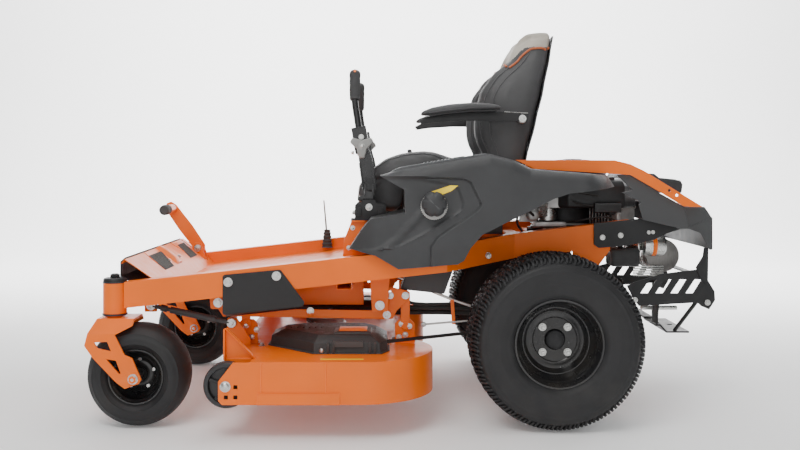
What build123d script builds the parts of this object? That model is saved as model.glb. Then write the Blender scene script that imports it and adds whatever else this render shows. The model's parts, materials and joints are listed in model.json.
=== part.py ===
from build123d import *
from math import cos, hypot, radians, sin
import os

# A ride-on zero-turn mower, in millimetres.
# +X is the front, +Y the left side, +Z up, and the wheels stand on Z = 0.
# Lengths below are about the machine's centre plane; the whole model is shifted
# sideways at the end, so that the origin is under the middle of its overall box.

# ---------------------------------------------------------------- driving sizes
REAR_TYRE_R = 279.5       # 22 x 11 - 10 drive tyre
REAR_TYRE_W = 280
REAR_AXLE_X = -467
WHEEL_Y = 480             # middle of every wheel, each side
CASTER_TYRE_R = 165       # 13 x 6.5 - 6 front tyre
CASTER_TYRE_W = 160
SWIVEL_X = 960            # upright axis of each caster
CASTER_AXLE_X = 877

RAIL_DEPTH = 84           # rectangular frame tube
RAIL_WIDTH = 50
RAIL_WALL = 4
RAIL_FRONT_X = 925
RAIL_REAR_X = -760
RAIL_OUTER_Y = 505        # outer face beside the floor
RAIL_REAR_Y = 325         # outer face between the drive wheels
RAIL_BEND_X = (-120, -360)

DECK_TOP = 242
DECK_BOTTOM = 112
DECK_SHEET = 5
DECK_FRONT_X = 580
DECK_LEFT_Y = 690
DECK_RIGHT_Y = -654
CHAMBER_R = 232           # round rear corners of the cutting chamber
SPINDLES = {"left": (157, 450), "centre": (302, 18), "right": (157, -414)}
BLADE_R = 216
PULLEY_R = 66
BELT_Z = 268
CHUTE_X = (150, 418)      # side discharge opening
CHUTE_REACH = 245

LIFT_PIVOT_REAR = (98.6, 376)    # (X, Z) of the rear lift cranks' shaft
LIFT_PIVOT_FRONT = (635, 385)
LIFT_ARM = 90
LIFT_ARM_TILT = 18               # degrees above level at rest

SEAT_HALF = 250
SEAT_BASE_FRONT = 0
SEAT_HINGE = (10, 752)       # (X, Z) of the seat plate's tilt axis
HINGE_R = 4
LEVER_Y = 300
LEVER_PIVOT = (136, 699)
FUEL_CAP = (-75, 718)
CONSOLE_Y = -400
THROTTLE_X = -40
PTO_X = -130

FIT = 0.05                # radial clearance of running fits
GAP = 0.4                 # gap between parts that only pass each other
CENTRE_SHIFT_Y = 100    # puts the overall box's middle on the origin


# ---------------------------------------------------------------- shape helpers
def outline(points, radius=0.0):
    """Closed flat outline, with its corners rounded when a radius is given."""
    face = make_face(Polyline(*points, close=True))
    return fillet(face.vertices(), radius) if radius else face


def from_side(face, y_low, y_high):
    """Fills the space between two widths with an outline drawn in (X, Z)."""
    return extrude(Pos(0, y_low, 0) * (Plane.XZ * face), y_high - y_low, dir=(0, 1, 0))


def from_above(face, z_low, z_high):
    """Fills the space between two heights with an outline drawn in (X, Y)."""
    return extrude(Pos(0, 0, z_low) * face, z_high - z_low, dir=(0, 0, 1))


def from_front(face, x_low, x_high):
    """Fills the space between two lengths with an outline drawn in (Y, Z)."""
    return extrude(Pos(x_low, 0, 0) * (Plane.YZ * face), x_high - x_low, dir=(1, 0, 0))


def block(x_low, x_high, y_low, y_high, z_low, z_high):
    size = Box(x_high - x_low, y_high - y_low, z_high - z_low, align=(Align.MIN,) * 3)
    return Pos(x_low, y_low, z_low) * size


def rod(start, end, radius):
    """Round bar from one point to another."""
    way = Vector(*end) - Vector(*start)
    return extrude(Plane(origin=start, z_dir=way) * Circle(radius), way.length)


def tube(start, end, outer, inner):
    return rod(start, end, outer) - rod(start, end, inner)


def hex_bar(start, end, flats):
    """Hexagonal bar or nut, by its size across flats."""
    way = Vector(*end) - Vector(*start)
    hexagon = RegularPolygon(flats / 2, 6, major_radius=False)
    return extrude(Plane(origin=start, z_dir=way) * hexagon, way.length)


def strip(path, thickness):
    """Outline of a bent sheet: the path is one skin, the other lies to its left."""
    normals = []
    for (x0, y0), (x1, y1) in zip(path, path[1:]):
        length = hypot(x1 - x0, y1 - y0)
        normals.append(((y0 - y1) / length, (x1 - x0) / length))
    other = []
    for i, (x, y) in enumerate(path):
        a = normals[max(i - 1, 0)]
        b = normals[min(i, len(normals) - 1)]
        share = thickness / (1 + a[0] * b[0] + a[1] * b[1])
        other.append((x + (a[0] + b[0]) * share, y + (a[1] + b[1]) * share))
    return outline(list(path) + other[::-1])


def turned_across(profile, centre):
    """Body of revolution about an axle along Y; the profile is (radius, Y)."""
    return Pos(*centre) * revolve(profile, Axis.Y)


def turned_upright(profile, centre):
    """Body of revolution about an upright axis; the profile is (radius, Z)."""
    return Pos(*centre) * revolve(Plane.XZ * profile, Axis.Z)


def mirrored(shape):
    """The same piece on the other side of the machine."""
    return mirror(shape, about=Plane.XZ)


def both_sides(shape):
    return shape + mirrored(shape)


def group(*shapes):
    """Separate solids kept in one node."""
    return Compound([solid for shape in shapes for solid in shape.solids()])


def ring_of(count, radius, centre=(0, 0), phase=0.0):
    """Evenly spaced points around a circle."""
    angles = [radians(phase + 360 * i / count) for i in range(count)]
    return [(centre[0] + radius * cos(a), centre[1] + radius * sin(a)) for a in angles]


def rail_top(x):
    """Height of the frame rails' upper face along the machine."""
    if x > -160:
        return 463 + (RAIL_FRONT_X - x) * 121 / 1085
    return 584 + (-160 - x) * 70 / 600


# ---------------------------------------------------------------- frame
def rail_edge(inset):
    """One long edge of a rail in plan: straight, in past the drive tyre, straight."""
    bend = inset / 3
    return [
        (RAIL_FRONT_X, RAIL_OUTER_Y - inset),
        (RAIL_BEND_X[0] + bend, RAIL_OUTER_Y - inset),
        (RAIL_BEND_X[1] + bend, RAIL_REAR_Y - inset),
        (RAIL_REAR_X, RAIL_REAR_Y - inset),
    ]


def rail_volume(inset):
    """Space inside a rail's skin, drawn in from every face by the inset."""
    stations = [RAIL_FRONT_X, -160, RAIL_REAR_X]
    upper = [(x, rail_top(x) - inset) for x in stations]
    lower = [(x, rail_top(x) - RAIL_DEPTH + inset) for x in reversed(stations)]
    plan = rail_edge(inset) + rail_edge(RAIL_WIDTH - inset)[::-1]
    side = from_side(outline(upper + lower), 0, RAIL_OUTER_Y + 10)
    return side & from_above(outline(plan), 0, 1000)


def caster_housing():
    """Upright bearing tube on the front end of a rail."""
    foot = (SWIVEL_X, WHEEL_Y, 354)
    head = (SWIVEL_X, WHEEL_Y, 464)
    shell = rod(foot, head, 38)
    hollow = rod((SWIVEL_X, WHEEL_Y, 379), (SWIVEL_X, WHEEL_Y, 439), 30)
    return shell - hollow - rod(foot, head, 15 + FIT)


def make_main_frame():
    rail = rail_volume(0) - rail_volume(RAIL_WALL)
    web = block(RAIL_FRONT_X - 12, SWIVEL_X - 20, 462, 498, 384, 456)
    side = (rail + web) - rod((SWIVEL_X, WHEEL_Y, 300), (SWIVEL_X, WHEEL_Y, 500), 38)
    side = side + caster_housing()
    return both_sides(side)


def box_tube_across(x, z, depth_x, depth_z, half):
    """Square cross tube between the rails."""
    outer = block(x - depth_x / 2, x + depth_x / 2, -half, half, z - depth_z / 2, z + depth_z / 2)
    inner = block(
        x - depth_x / 2 + 3, x + depth_x / 2 - 3, -half, half, z - depth_z / 2 + 3, z + depth_z / 2 - 3
    )
    return outer - inner


def make_cross_members():
    """Front and middle cross tubes, the engine plate and the lift shafts' ears."""
    inner = RAIL_OUTER_Y - RAIL_WIDTH
    front = box_tube_across(888, 416, 50, 50, inner)
    middle = box_tube_across(215, 458, 50, 50, inner)
    rear_half = RAIL_REAR_Y - RAIL_WIDTH
    waist = box_tube_across(-400, 560, 50, 50, rear_half)
    web = block(155, 415, 300, 304, 362, 445)
    middle += both_sides(web)
    engine_plate = block(-750, -450, -rear_half, rear_half, 585, 593)
    engine_plate -= rod((-600, 0, 580), (-600, 0, 600), 60)
    ears = []
    for x, z, drop in ((*LIFT_PIVOT_REAR, 483), (*LIFT_PIVOT_FRONT, 440)):
        ear = outline([(x - 26, z - 22), (x + 26, z - 22), (x + 34, drop), (x - 34, drop)], 6)
        plate = from_side(ear, 408, 414)
        ears.append(plate - rod((x, 400, z), (x, 420, z), 12 + FIT))
    strut_ear = outline([(842, 352), (884, 352), (884, 391), (842, 391)], 4)
    strut_bracket = from_side(strut_ear, 396, 402)
    strut_bracket -= rod((860, 390, 374), (860, 410, 374), 6 + FIT)
    x = LIFT_PIVOT_FRONT[0]
    front_shelf = block(x - 30, x + 30, 408, inner, 432, 440)
    rear_shelf = block(68, 190, 408, inner, 475, 483)
    brackets = both_sides(ears[0] + ears[1] + strut_bracket + front_shelf + rear_shelf)
    return group(front, middle + brackets, waist, engine_plate)


def floor_skin():
    """Upper skin of the floor from the front lip down the toe board and back."""
    back_x = 122
    return [
        (948, 519), (936, 533), (850, 474), (806, rail_top(806) - 46),
        (back_x, rail_top(back_x) - 46), (back_x - 12, 585), (24, 596),
    ]


def make_floor_pan():
    """Toe board, floor and the riser in front of the seat, bent from one sheet."""
    half = RAIL_OUTER_Y - RAIL_WIDTH - 2
    pan = from_side(strip(floor_skin(), 3), -half, half)
    beside_seat = block(0, 160, FENDER_INNER_Y - 4, half + 5, 520, 680)
    pedal_slot = block(
        PEDAL_PIVOT[0] - 36, PEDAL_PIVOT[0] + 76, PEDAL_Y - 9, PEDAL_Y + 9, 440, 560
    )
    return pan - both_sides(beside_seat) - pedal_slot


def make_toe_cover():
    """Dark moulded nose ahead of the toe board, hollow behind."""
    half = 432
    skin = outline([(900, 448), (957, 470), (957, 522), (941, 537), (951, 519), (951, 475), (900, 453)])
    return from_side(skin, -half, half)


STEP_BOLTS = [(587, 464), (431, 484)]
STEP_SLOPE = 6.2          # degrees that the lower edge climbs to the rear


def make_side_steps():
    """Flat skirt plates bolted outside the rails, with an inward lip below."""
    foot = (605, 357)
    face = outline([(605, 487), (418, 504), (340, 398), (346, 385), foot], 9)
    plate = from_side(face, RAIL_OUTER_Y, RAIL_OUTER_Y + 6)
    lip = from_front(
        strip([(RAIL_OUTER_Y + 0.5, 362), (RAIL_OUTER_Y - 32, 350)], 4), 372, 598
    )
    lip -= block(300, 650, RAIL_OUTER_Y + 5.9, 560, 300, 400)
    to_foot = Pos(foot[0], 0, foot[1])
    plate = plate + to_foot * Rot(0, STEP_SLOPE, 0) * to_foot.inverse() * lip
    for x, z in STEP_BOLTS:
        plate -= rod((x, 490, z), (x, 520, z), 5)
    return both_sides(plate)


BRACKET_BOLTS = [(-660, 595), (-722, 602)]


def flange_bolt(x, y, z, head_flats=16, inner=14):
    """Flange-head bolt whose shank runs inwards, on the machine's left side."""
    head = rod((x, y, z), (x, y + 3, z), head_flats * 0.72)
    head += hex_bar((x, y + 3, z), (x, y + 9, z), head_flats)
    return head + rod((x, y - inner, z), (x, y, z), 5)


def caster_cap():
    """Pressed dust cap over the top of a caster housing."""
    cap = rod((SWIVEL_X, WHEEL_Y, 464), (SWIVEL_X, WHEEL_Y, 476), 37)
    return cap - rod((SWIVEL_X, WHEEL_Y, 464), (SWIVEL_X, WHEEL_Y, 476), 16)


def make_frame_hardware():
    """Bolts of the steps and rear brackets, and the dust caps of the casters."""
    pieces = [flange_bolt(x, RAIL_OUTER_Y + 6, z) for x, z in STEP_BOLTS]
    pieces += [flange_bolt(x, RAIL_REAR_Y + 6, z) for x, z in BRACKET_BOLTS]
    pieces.append(caster_cap())
    return both_sides(group(*pieces))


def drill_for_bolts(shape):
    """Holes for the shanks of the frame's flange bolts."""
    for y, places in ((RAIL_OUTER_Y + 6, STEP_BOLTS), (RAIL_REAR_Y + 6, BRACKET_BOLTS)):
        for x, z in places:
            for side in (1, -1):
                shape -= rod((x, side * (y - 14), z), (x, side * y, z), 5)
    return shape


# ---------------------------------------------------------------- bodywork
FENDER_SIDE = [
    (97, 807), (27, 831), (-257, 878), (-334, 858), (-390, 830), (-647, 809), (-681, 771),
    (-507, 751), (-456, 734), (-401, 705), (-317, 664), (-228, 619), (-192, 577), (-172, 536),
    (-152, 524), (38, 509), (111, 552), (197, 572), (157, 633), (128, 668), (17, 690), (19, 763),
]
FENDER_OUTER_Y = 560
FENDER_INNER_Y = 270


def make_left_fender():
    """Moulded side cover over the drive wheel: a shell, open towards the seat."""
    side = outline(FENDER_SIDE)
    room = offset(side, -4, kind=Kind.INTERSECTION)
    plan = outline([
        (200, FENDER_INNER_Y), (200, 520), (120, FENDER_OUTER_Y), (-560, FENDER_OUTER_Y),
        (-690, 420), (-690, FENDER_INNER_Y),
    ])
    plan_room = outline([
        (300, FENDER_INNER_Y - 10), (196, 518), (118, FENDER_OUTER_Y - 4), (-558, FENDER_OUTER_Y - 4),
        (-686, 418), (-800, FENDER_INNER_Y - 10),
    ])
    skin = from_side(side, FENDER_INNER_Y, FENDER_OUTER_Y) & from_above(plan, 0, 1000)
    hollow = from_side(room, FENDER_INNER_Y - 10, FENDER_OUTER_Y) & from_above(plan_room, 0, 1000)
    rail_room = from_side(
        outline([(250, rail_top(250) + 2), (-760, rail_top(-760) + 2), (-760, 400), (250, 400)]),
        RAIL_REAR_Y - RAIL_WIDTH - 20, RAIL_OUTER_Y + 2,
    )
    lever_slot = block(70, 240, FENDER_INNER_Y - 10, LEVER_Y + 48, 648, 900)
    neck = rod((FUEL_CAP[0], 500, FUEL_CAP[1]), (FUEL_CAP[0], 600, FUEL_CAP[1]), 30)
    return skin - hollow - rail_room - lever_slot - neck


def make_right_fender():
    """The left cover's mirror image, without the filler and with the controls' holes."""
    shell = mirrored(make_left_fender())
    plug = rod((FUEL_CAP[0], -FENDER_OUTER_Y, FUEL_CAP[1]), (FUEL_CAP[0], -556, FUEL_CAP[1]), 30)
    slot = block(THROTTLE_X - 18, THROTTLE_X + 22, CONSOLE_Y - 5, CONSOLE_Y + 5, 820, 870)
    hole = rod((PTO_X, CONSOLE_Y, 830), (PTO_X, CONSOLE_Y, 880), 8 + GAP)
    return shell + plug - slot - hole


def make_fuel_tank():
    """Blow-moulded tank behind the left cover, with its filler neck."""
    side = outline([(0, 690), (0, 750), (-60, 800), (-300, 800), (-380, 770), (-300, 700), (-180, 640)], 15)
    tank = from_side(side, FENDER_INNER_Y + 40, 535)
    room = offset(side, -4)
    tank -= from_side(room, FENDER_INNER_Y + 44, 531)
    x, z = FUEL_CAP
    neck = tube((x, 531, z), (x, FENDER_OUTER_Y + 2, z), 27, 23)
    return (tank - rod((x, 520, z), (x, 540, z), 23)) + neck


def make_fuel_cap():
    """Ribbed screw cap that sits over the filler neck."""
    x, z = FUEL_CAP
    y = FENDER_OUTER_Y + 2 + GAP
    cap = rod((x, y, z), (x, y + 30, z), 42)
    for px, pz in ring_of(12, 44, (x, z)):
        cap -= rod((px, y - 1, pz), (px, y + 31, pz), 4)
    return cap - rod((x, y, z), (x, y + 12, z), 36)


def make_seat_base():
    """Sheet-metal box under the seat, open below, that holds the battery."""
    shell = block(-330, SEAT_BASE_FRONT, -240, 240, 600, 756)
    shell -= block(-327, SEAT_BASE_FRONT - 3, -237, 237, 590, 753)
    x, z = SEAT_HINGE
    ear = block(SEAT_BASE_FRONT - 3, x, 176, 200, z - HINGE_R, z) + rod((x, 176, z), (x, 200, z), HINGE_R)
    return shell + both_sides(ear)


def make_battery():
    """Starter battery on its tray, under the seat."""
    case = block(-225, -30, -65, 65, 610, 745)
    posts = [rod((x, 45, 745), (x, 45, 751), 8) for x in (-195, -60)]
    tray = block(-235, -20, -75, 75, 605, 610)
    stay = block(-140, -110, -237, 237, 601, 605)
    return group(case + posts[0] + posts[1], tray + stay)


def make_engine_guard():
    """Flat bar loop round the engine, bolted to the seat frame and the bumper."""
    side = outline([
        (-354, 859), (-685, 858), (-738, 845), (-783, 823), (-980, 702),
        (-917, 704), (-823, 760), (-738, 809), (-658, 814), (-416, 829),
    ])
    arm = from_side(side, 396, 402)
    arm -= rod((-868, 390, 757), (-868, 410, 757), 5)
    arm -= rod((-893, 390, 741), (-893, 410, 741), 5)
    stay = block(-440, -410, 242, 402, 833, 841)
    tie = block(-975, -935, -402, 402, 702, 706)
    return both_sides(arm + stay) + tie


def make_rear_bumper():
    """Faceted steel bumper wrapped round the tail, open underneath."""
    side_face = outline([
        (-769, 709), (-825, 756), (-924, 701), (-938, 630), (-913, 628), (-783, 658),
    ])
    side = from_side(side_face, 381, 386)
    front_corner, rear_corner, tail = (-924, 385), (-1046, 300), (-1050, 150)
    plan = [front_corner, rear_corner, tail]
    plan += [(x, -y) for x, y in reversed(plan)]
    wrap_side = outline([
        (-900, 701), (-1012, 698), (-1042, 662), (-1062, 656), (-1062, 552), (-1034, 550), (-992, 610),
        (-942, 627), (-900, 628),
    ])
    wrap = from_above(strip(plan, 5), 540, 760) & from_side(wrap_side, -400, 400)
    roof = from_above(outline([(-930, 376), (-1008, 322), (-1008, -322), (-930, -376)]), 694, 698)
    slope = from_side(strip([(-1004, 697), (-1044, 660)], 4), -299, 299)
    shoulder = outline([
        (-695, 809), (-730, 811), (-795, 782), (-838, 757), (-784, 713), (-713, 750), (-749, 757),
    ])
    shoulder = from_side(shoulder, 381, 386)
    return both_sides(side + shoulder) + wrap + roof + slope


def make_rear_guard():
    """Dark side brackets, tail posts, slotted lower guard and the hitch plate."""
    bracket = outline([
        (-631, 643), (-796, 660), (-928, 624), (-879, 608), (-837, 587), (-747, 567), (-647, 559),
        (-631, 571),
    ])
    bracket = from_side(bracket, RAIL_REAR_Y, RAIL_REAR_Y + 6)
    post = outline([(-992, 488), (-1016, 526), (-1020, 556), (-1036, 556), (-1034, 430), (-1012, 440)])
    post = from_side(post, 283, 289)
    guard = outline([
        (-755, 424), (-783, 437), (-880, 466), (-1010, 482), (-1026, 460), (-1059, 405), (-1061, 375),
        (-1040, 342), (-1012, 354), (-1000, 366), (-797, 354), (-776, 382),
    ])
    guard = from_side(guard, 277, 283)
    for x in (-828, -880, -932, -984):
        slot = outline([(x + 26, 398), (x, 398), (x - 30, 446), (x - 6, 446)])
        guard -= from_side(slot, 270, 290)
    shelf = block(-1030, -1002, -283, 283, 452, 458)
    hitch = from_side(strip([(-850, 291), (-880, 291), (-930, 238), (-1012, 238)], -6), -150, 150)
    hitch -= rod((-985, 0, 200), (-985, 0, 300), 10)
    legs = from_side(strip([(-856, 288), (-862, 372), (-862, 380)], 6), 225, 283)
    legs += from_side(strip([(-852, 291), (-872, 291)], 6), 140, 283)
    stay = rod((-1000, 277, 372), (-962, 140, 246), 7) - block(-1100, -900, 277, 300, 300, 500)
    lower = both_sides(guard + post + shelf.intersect(block(-1040, -990, 0, 300, 400, 500)))
    seat = both_sides(legs + stay) + hitch
    return group(*both_sides(bracket).solids(), lower + seat)


# ---------------------------------------------------------------- engine and drive
CRANK_X = -600
COWL_TOP = 868


def make_engine_block():
    """V-twin with an upright crankshaft: crankcase, finned cylinders, output shaft."""
    case = rod((CRANK_X, 0, 593), (CRANK_X, 0, 700), 128)
    foot = rod((CRANK_X, 0, 593), (CRANK_X, 0, 605), 150)
    block_all = case + foot
    for side in (1, -1):
        way = (cos(radians(135)), side * sin(radians(135)))
        far = (CRANK_X + way[0] * 235, way[1] * 235, 655)
        near = (CRANK_X, 0, 655)
        block_all += rod(near, far, 46)
        for i in range(7):
            a = 140 + 13 * i
            start = (CRANK_X + way[0] * a, way[1] * a, 655)
            end = (CRANK_X + way[0] * (a + 5), way[1] * (a + 5), 655)
            block_all += rod(start, end, 62)
    block_all += rod((CRANK_X, 0, 320), (CRANK_X, 0, 595), 14.3)
    return block_all


def make_engine_cowl():
    """Blower housing with its round screened intake on top."""
    shell = from_above(outline([
        (-450, -150), (-450, 150), (-560, 240), (-760, 240), (-820, 150), (-820, -150), (-760, -240),
        (-560, -240),
    ]), 722, 790)
    room = from_above(outline([
        (-455, -146), (-455, 146), (-562, 235), (-758, 235), (-815, 148), (-815, -148), (-758, -235),
        (-562, -235),
    ]), 715, 786)
    x = CRANK_X - 20
    dome = rod((x, 0, 786), (x, 0, COWL_TOP), 120) - rod((x, 0, 780), (x, 0, COWL_TOP - 4), 116)
    return (shell - room - rod((x, 0, 780), (x, 0, 792), 116)) + dome


def make_air_cleaner():
    """Air filter box on top of the engine, at the rear."""
    lid = outline([
        (-768, 792), (-778, 814), (-903, 812), (-918, 794), (-996, 786), (-1004, 772), (-1000, 738),
        (-840, 738), (-840, 792),
    ])
    return from_side(lid, -110, 110)


def make_muffler():
    """Silencer across the tail, with its two pipes and outlet."""
    drum = rod((-905, -190, 520), (-905, 190, 520), 58) - rod((-905, -187, 520), (-905, 187, 520), 55)
    pipes = group(*[
        rod((-766, side * 166, 600), (-870, side * 150, 548), 15) for side in (1, -1)
    ])
    outlet = rod((-905, 120, 470), (-905, 120, 440), 18)
    outlet += rod((-905, 120, 520), (-905, 120, 468), 18)
    return drum + pipes + outlet - make_engine_block()


def make_transaxles():
    """Two hydrostatic transaxles, each with its axle tube, pulley and fan."""
    body = block(REAR_AXLE_X - 75, REAR_AXLE_X + 80, 222, 318, 205, 365)
    body += rod((REAR_AXLE_X, 318, REAR_TYRE_R), (REAR_AXLE_X, 334, REAR_TYRE_R), 58)
    body -= rod((REAR_AXLE_X, 255, REAR_TYRE_R), (REAR_AXLE_X, 340, REAR_TYRE_R), 17 + FIT)
    pump = rod((REAR_AXLE_X + 20, 262, 365), (REAR_AXLE_X + 20, 262, 400), 40)
    shaft = rod((REAR_AXLE_X + 20, 262, 400), (REAR_AXLE_X + 20, 262, 440), 9)
    pulley = rod((REAR_AXLE_X + 20, 262, 410), (REAR_AXLE_X + 20, 262, 424), 62)
    mount = block(REAR_AXLE_X - 70, REAR_AXLE_X - 60, 225, 285, 365, rail_top(-527) - RAIL_DEPTH - 1)
    return both_sides(body + pump + shaft + pulley + mount)


def make_engine_pulley():
    """Electric clutch and deck-drive pulley on the engine's output shaft."""
    coil = rod((CRANK_X, 0, BELT_Z + 14), (CRANK_X, 0, BELT_Z + 60), 52)
    pulley = grooved_pulley((CRANK_X, 0), PULLEY_R)
    return (coil + pulley) - rod((CRANK_X, 0, 200), (CRANK_X, 0, 400), 14.3 + FIT)


def grooved_pulley(place, radius):
    """Flat-sided pulley with a shallow groove that the belt lies in."""
    profile = outline([
        (0, -12), (radius + 8, -12), (radius + 8, -9), (radius, -7), (radius, 7),
        (radius + 8, 9), (radius + 8, 14), (0, 14),
    ])
    return turned_upright(profile, (*place, BELT_Z))


# ---------------------------------------------------------------- wheels
def tyre(radius, width, seat_r, flange_r, bead_half, carcass, shoulder):
    """Hollow tyre section: flat crown, bulged sidewalls and a foot on each bead."""
    half = width / 2
    middle_r = flange_r + (radius - flange_r) * 0.45
    shoulder_r, shoulder_half = shoulder
    foot = bead_half - 13

    def half_outline(sign):
        side = ThreePointArc(
            (flange_r + 1, sign * (bead_half + 9)), (middle_r, sign * half),
            (shoulder_r, sign * shoulder_half)
        )
        bead = Polyline(
            (flange_r + 1, sign * (bead_half + 9)), (seat_r + 0.3, sign * (bead_half - 1)),
            (seat_r + 0.3, sign * foot), (flange_r - 2, sign * foot),
        )
        inside = ThreePointArc(
            (flange_r - 2, sign * foot), (middle_r - 4, sign * (half - carcass)),
            (shoulder_r - carcass, sign * (shoulder_half - carcass)),
        )
        return [side, bead, inside]

    crown = ThreePointArc((shoulder_r, -shoulder_half), (radius, 0), (shoulder_r, shoulder_half))
    inner_crown = ThreePointArc(
        (shoulder_r - carcass, carcass - shoulder_half), (radius - carcass, 0),
        (shoulder_r - carcass, shoulder_half - carcass),
    )
    return make_face(half_outline(1) + half_outline(-1) + [crown, inner_crown])


def rim_barrel(seat_r, flange_r, bead_half, drop_r, wall):
    """Section of a drop-centre steel rim."""
    quarter = [
        (flange_r, bead_half + 10), (seat_r, bead_half), (seat_r, bead_half - 24), (drop_r, bead_half - 40),
    ]
    path = quarter + [(r, -y) for r, y in reversed(quarter)]
    return strip(path, -wall)


def make_rear_tyre(side):
    section = tyre(REAR_TYRE_R, REAR_TYRE_W, 127, 141, 108, 11, (264, 122))
    return turned_across(section, (REAR_AXLE_X, side * WHEEL_Y, REAR_TYRE_R))


HUB_BOLTS_R = 57.15
HUB_FACE = 23             # wheel disc's inner face, outboard of the wheel's middle


def make_rear_rim(side):
    barrel = rim_barrel(127, 141, 108, 112, 4)
    disc = strip([(109, 44), (96, HUB_FACE), (34, HUB_FACE)], -5)
    rim = revolve(barrel, Axis.Y) + revolve(disc, Axis.Y)
    for x, z in ring_of(4, HUB_BOLTS_R, phase=45):
        rim -= rod((x, 0, z), (x, 60, z), 8)
    placed = Pos(REAR_AXLE_X, WHEEL_Y, REAR_TYRE_R) * rim
    return placed if side > 0 else mirrored(placed)


def make_rear_hub(side):
    """Axle shaft and hub flange with its studs, and the four wheel nuts."""
    centre = Vector(REAR_AXLE_X, WHEEL_Y + HUB_FACE, REAR_TYRE_R)
    x, y, z = centre.X, centre.Y, centre.Z
    flange = rod((x, y - 14, z), (x, y, z), 74)
    nose = rod((x, y, z), (x, y + 24, z), 33) + rod((x, y - 60, z), (x, y - 14, z), 38)
    shaft = rod((x, 258, z), (x, y - 55, z), 17)
    hub = flange + nose + shaft
    nuts = []
    for dx, dz in ring_of(4, HUB_BOLTS_R, phase=45):
        hub += rod((x + dx, y, z + dz), (x + dx, y + 5, z + dz), 7)
        nuts.append(
            hex_bar((x + dx, y + 5, z + dz), (x + dx, y + 19, z + dz), 19)
            + rod((x + dx, y + 19, z + dz), (x + dx, y + 24, z + dz), 7)
        )
    placed = group(hub, *nuts)
    return placed if side > 0 else mirrored(placed)


FORK_SIDE = [
    (884, 352), (1002, 352), (1022, 309), (1032, 270), (1006, 233), (932, 155), (904, 134), (859, 150),
    (851, 163), (880, 231), (904, 241), (935, 304), (884, 330),
]
FORK_WINDOWS = [
    [(1001, 281), (959, 283), (947, 253), (990, 262)],
    [(962, 228), (931, 223), (916, 181), (922, 182)],
]


def make_caster_fork(side):
    """Bent plate fork with its stem and nut; the wheel's axle bolt goes through it."""
    y = WHEEL_Y
    front = [(94, 120), (94, 309), (55, 350), (-55, 350), (-94, 309), (-94, 120)]
    sheet = from_front(strip([(y + a, z) for a, z in front], 8), 800, 1100)
    fork = sheet & from_side(outline(FORK_SIDE), y - 120, y + 120)
    for window in FORK_WINDOWS:
        fork -= from_side(outline(window), y - 120, y + 120)
    stem = rod((SWIVEL_X, y, 346), (SWIVEL_X, y, 486), 15)
    stem += rod((SWIVEL_X, y, 349), (SWIVEL_X, y, 353.6), 24)
    nut = hex_bar((SWIVEL_X, y, 476.4), (SWIVEL_X, y, 484), 27)
    axle_z = CASTER_TYRE_R
    bolt = rod((CASTER_AXLE_X, y - 96, axle_z), (CASTER_AXLE_X, y + 96, axle_z), 8)
    fork -= bolt
    for end in (1, -1):
        washer = rod((CASTER_AXLE_X, y + end * 94, axle_z), (CASTER_AXLE_X, y + end * 97, axle_z), 15)
        head = hex_bar((CASTER_AXLE_X, y + end * 97, axle_z), (CASTER_AXLE_X, y + end * 107, axle_z), 22)
        bolt += washer + head
        spacer = tube(
            (CASTER_AXLE_X, y + end * 86, axle_z), (CASTER_AXLE_X, y + end * 66, axle_z), 14, 8
        )
        bolt += spacer
    placed = group(fork + stem + nut, bolt)
    return placed if side > 0 else mirrored(placed)


def make_caster_tyre(side):
    section = tyre(CASTER_TYRE_R, CASTER_TYRE_W, 78, 88, 52, 8, (152, 58))
    return turned_across(section, (CASTER_AXLE_X, side * WHEEL_Y, CASTER_TYRE_R))


def make_caster_rim(side):
    """Two-piece pressed rim with its hub tube, running on the axle bolt."""
    barrel = rim_barrel(78, 88, 52, 62, 3)
    disc = strip([(60.5, 6), (30, 2), (22, 2)], -4)
    hub = outline([(8 + FIT, -65.5), (22.5, -65.5), (22.5, 65.5), (8 + FIT, 65.5)])
    rim = revolve(barrel, Axis.Y) + revolve(disc, Axis.Y) + revolve(hub, Axis.Y)
    return Pos(CASTER_AXLE_X, side * WHEEL_Y, CASTER_TYRE_R) * rim


# ---------------------------------------------------------------- cutting deck
def deck_outline():
    """Plan of the deck: straight front and sides, two round rear corners."""
    left = SPINDLES["left"]
    right = SPINDLES["right"]
    turn = radians(235)
    notch_x, notch_y = 492, DECK_LEFT_Y - 62
    rear_x = left[0] + CHAMBER_R * cos(turn)
    left_end = (rear_x, left[1] + CHAMBER_R * sin(turn))
    right_end = (rear_x, right[1] - CHAMBER_R * sin(turn))
    left_arc = ThreePointArc((left[0], DECK_LEFT_Y), (left[0] - CHAMBER_R, left[1]), left_end)
    right_arc = ThreePointArc(right_end, (right[0] - CHAMBER_R, right[1]), (right[0], DECK_RIGHT_Y))
    front = Polyline(
        (right[0], DECK_RIGHT_Y), (notch_x, DECK_RIGHT_Y), (notch_x, DECK_RIGHT_Y + 62),
        (DECK_FRONT_X, DECK_RIGHT_Y + 62), (DECK_FRONT_X, notch_y), (notch_x, notch_y),
        (notch_x, DECK_LEFT_Y), (left[0], DECK_LEFT_Y),
    )
    return make_face([left_arc, Line(left_end, right_end), right_arc, front])


GAUGE_WHEEL = (566, 168)
GAUGE_WHEEL_R = 70


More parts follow.
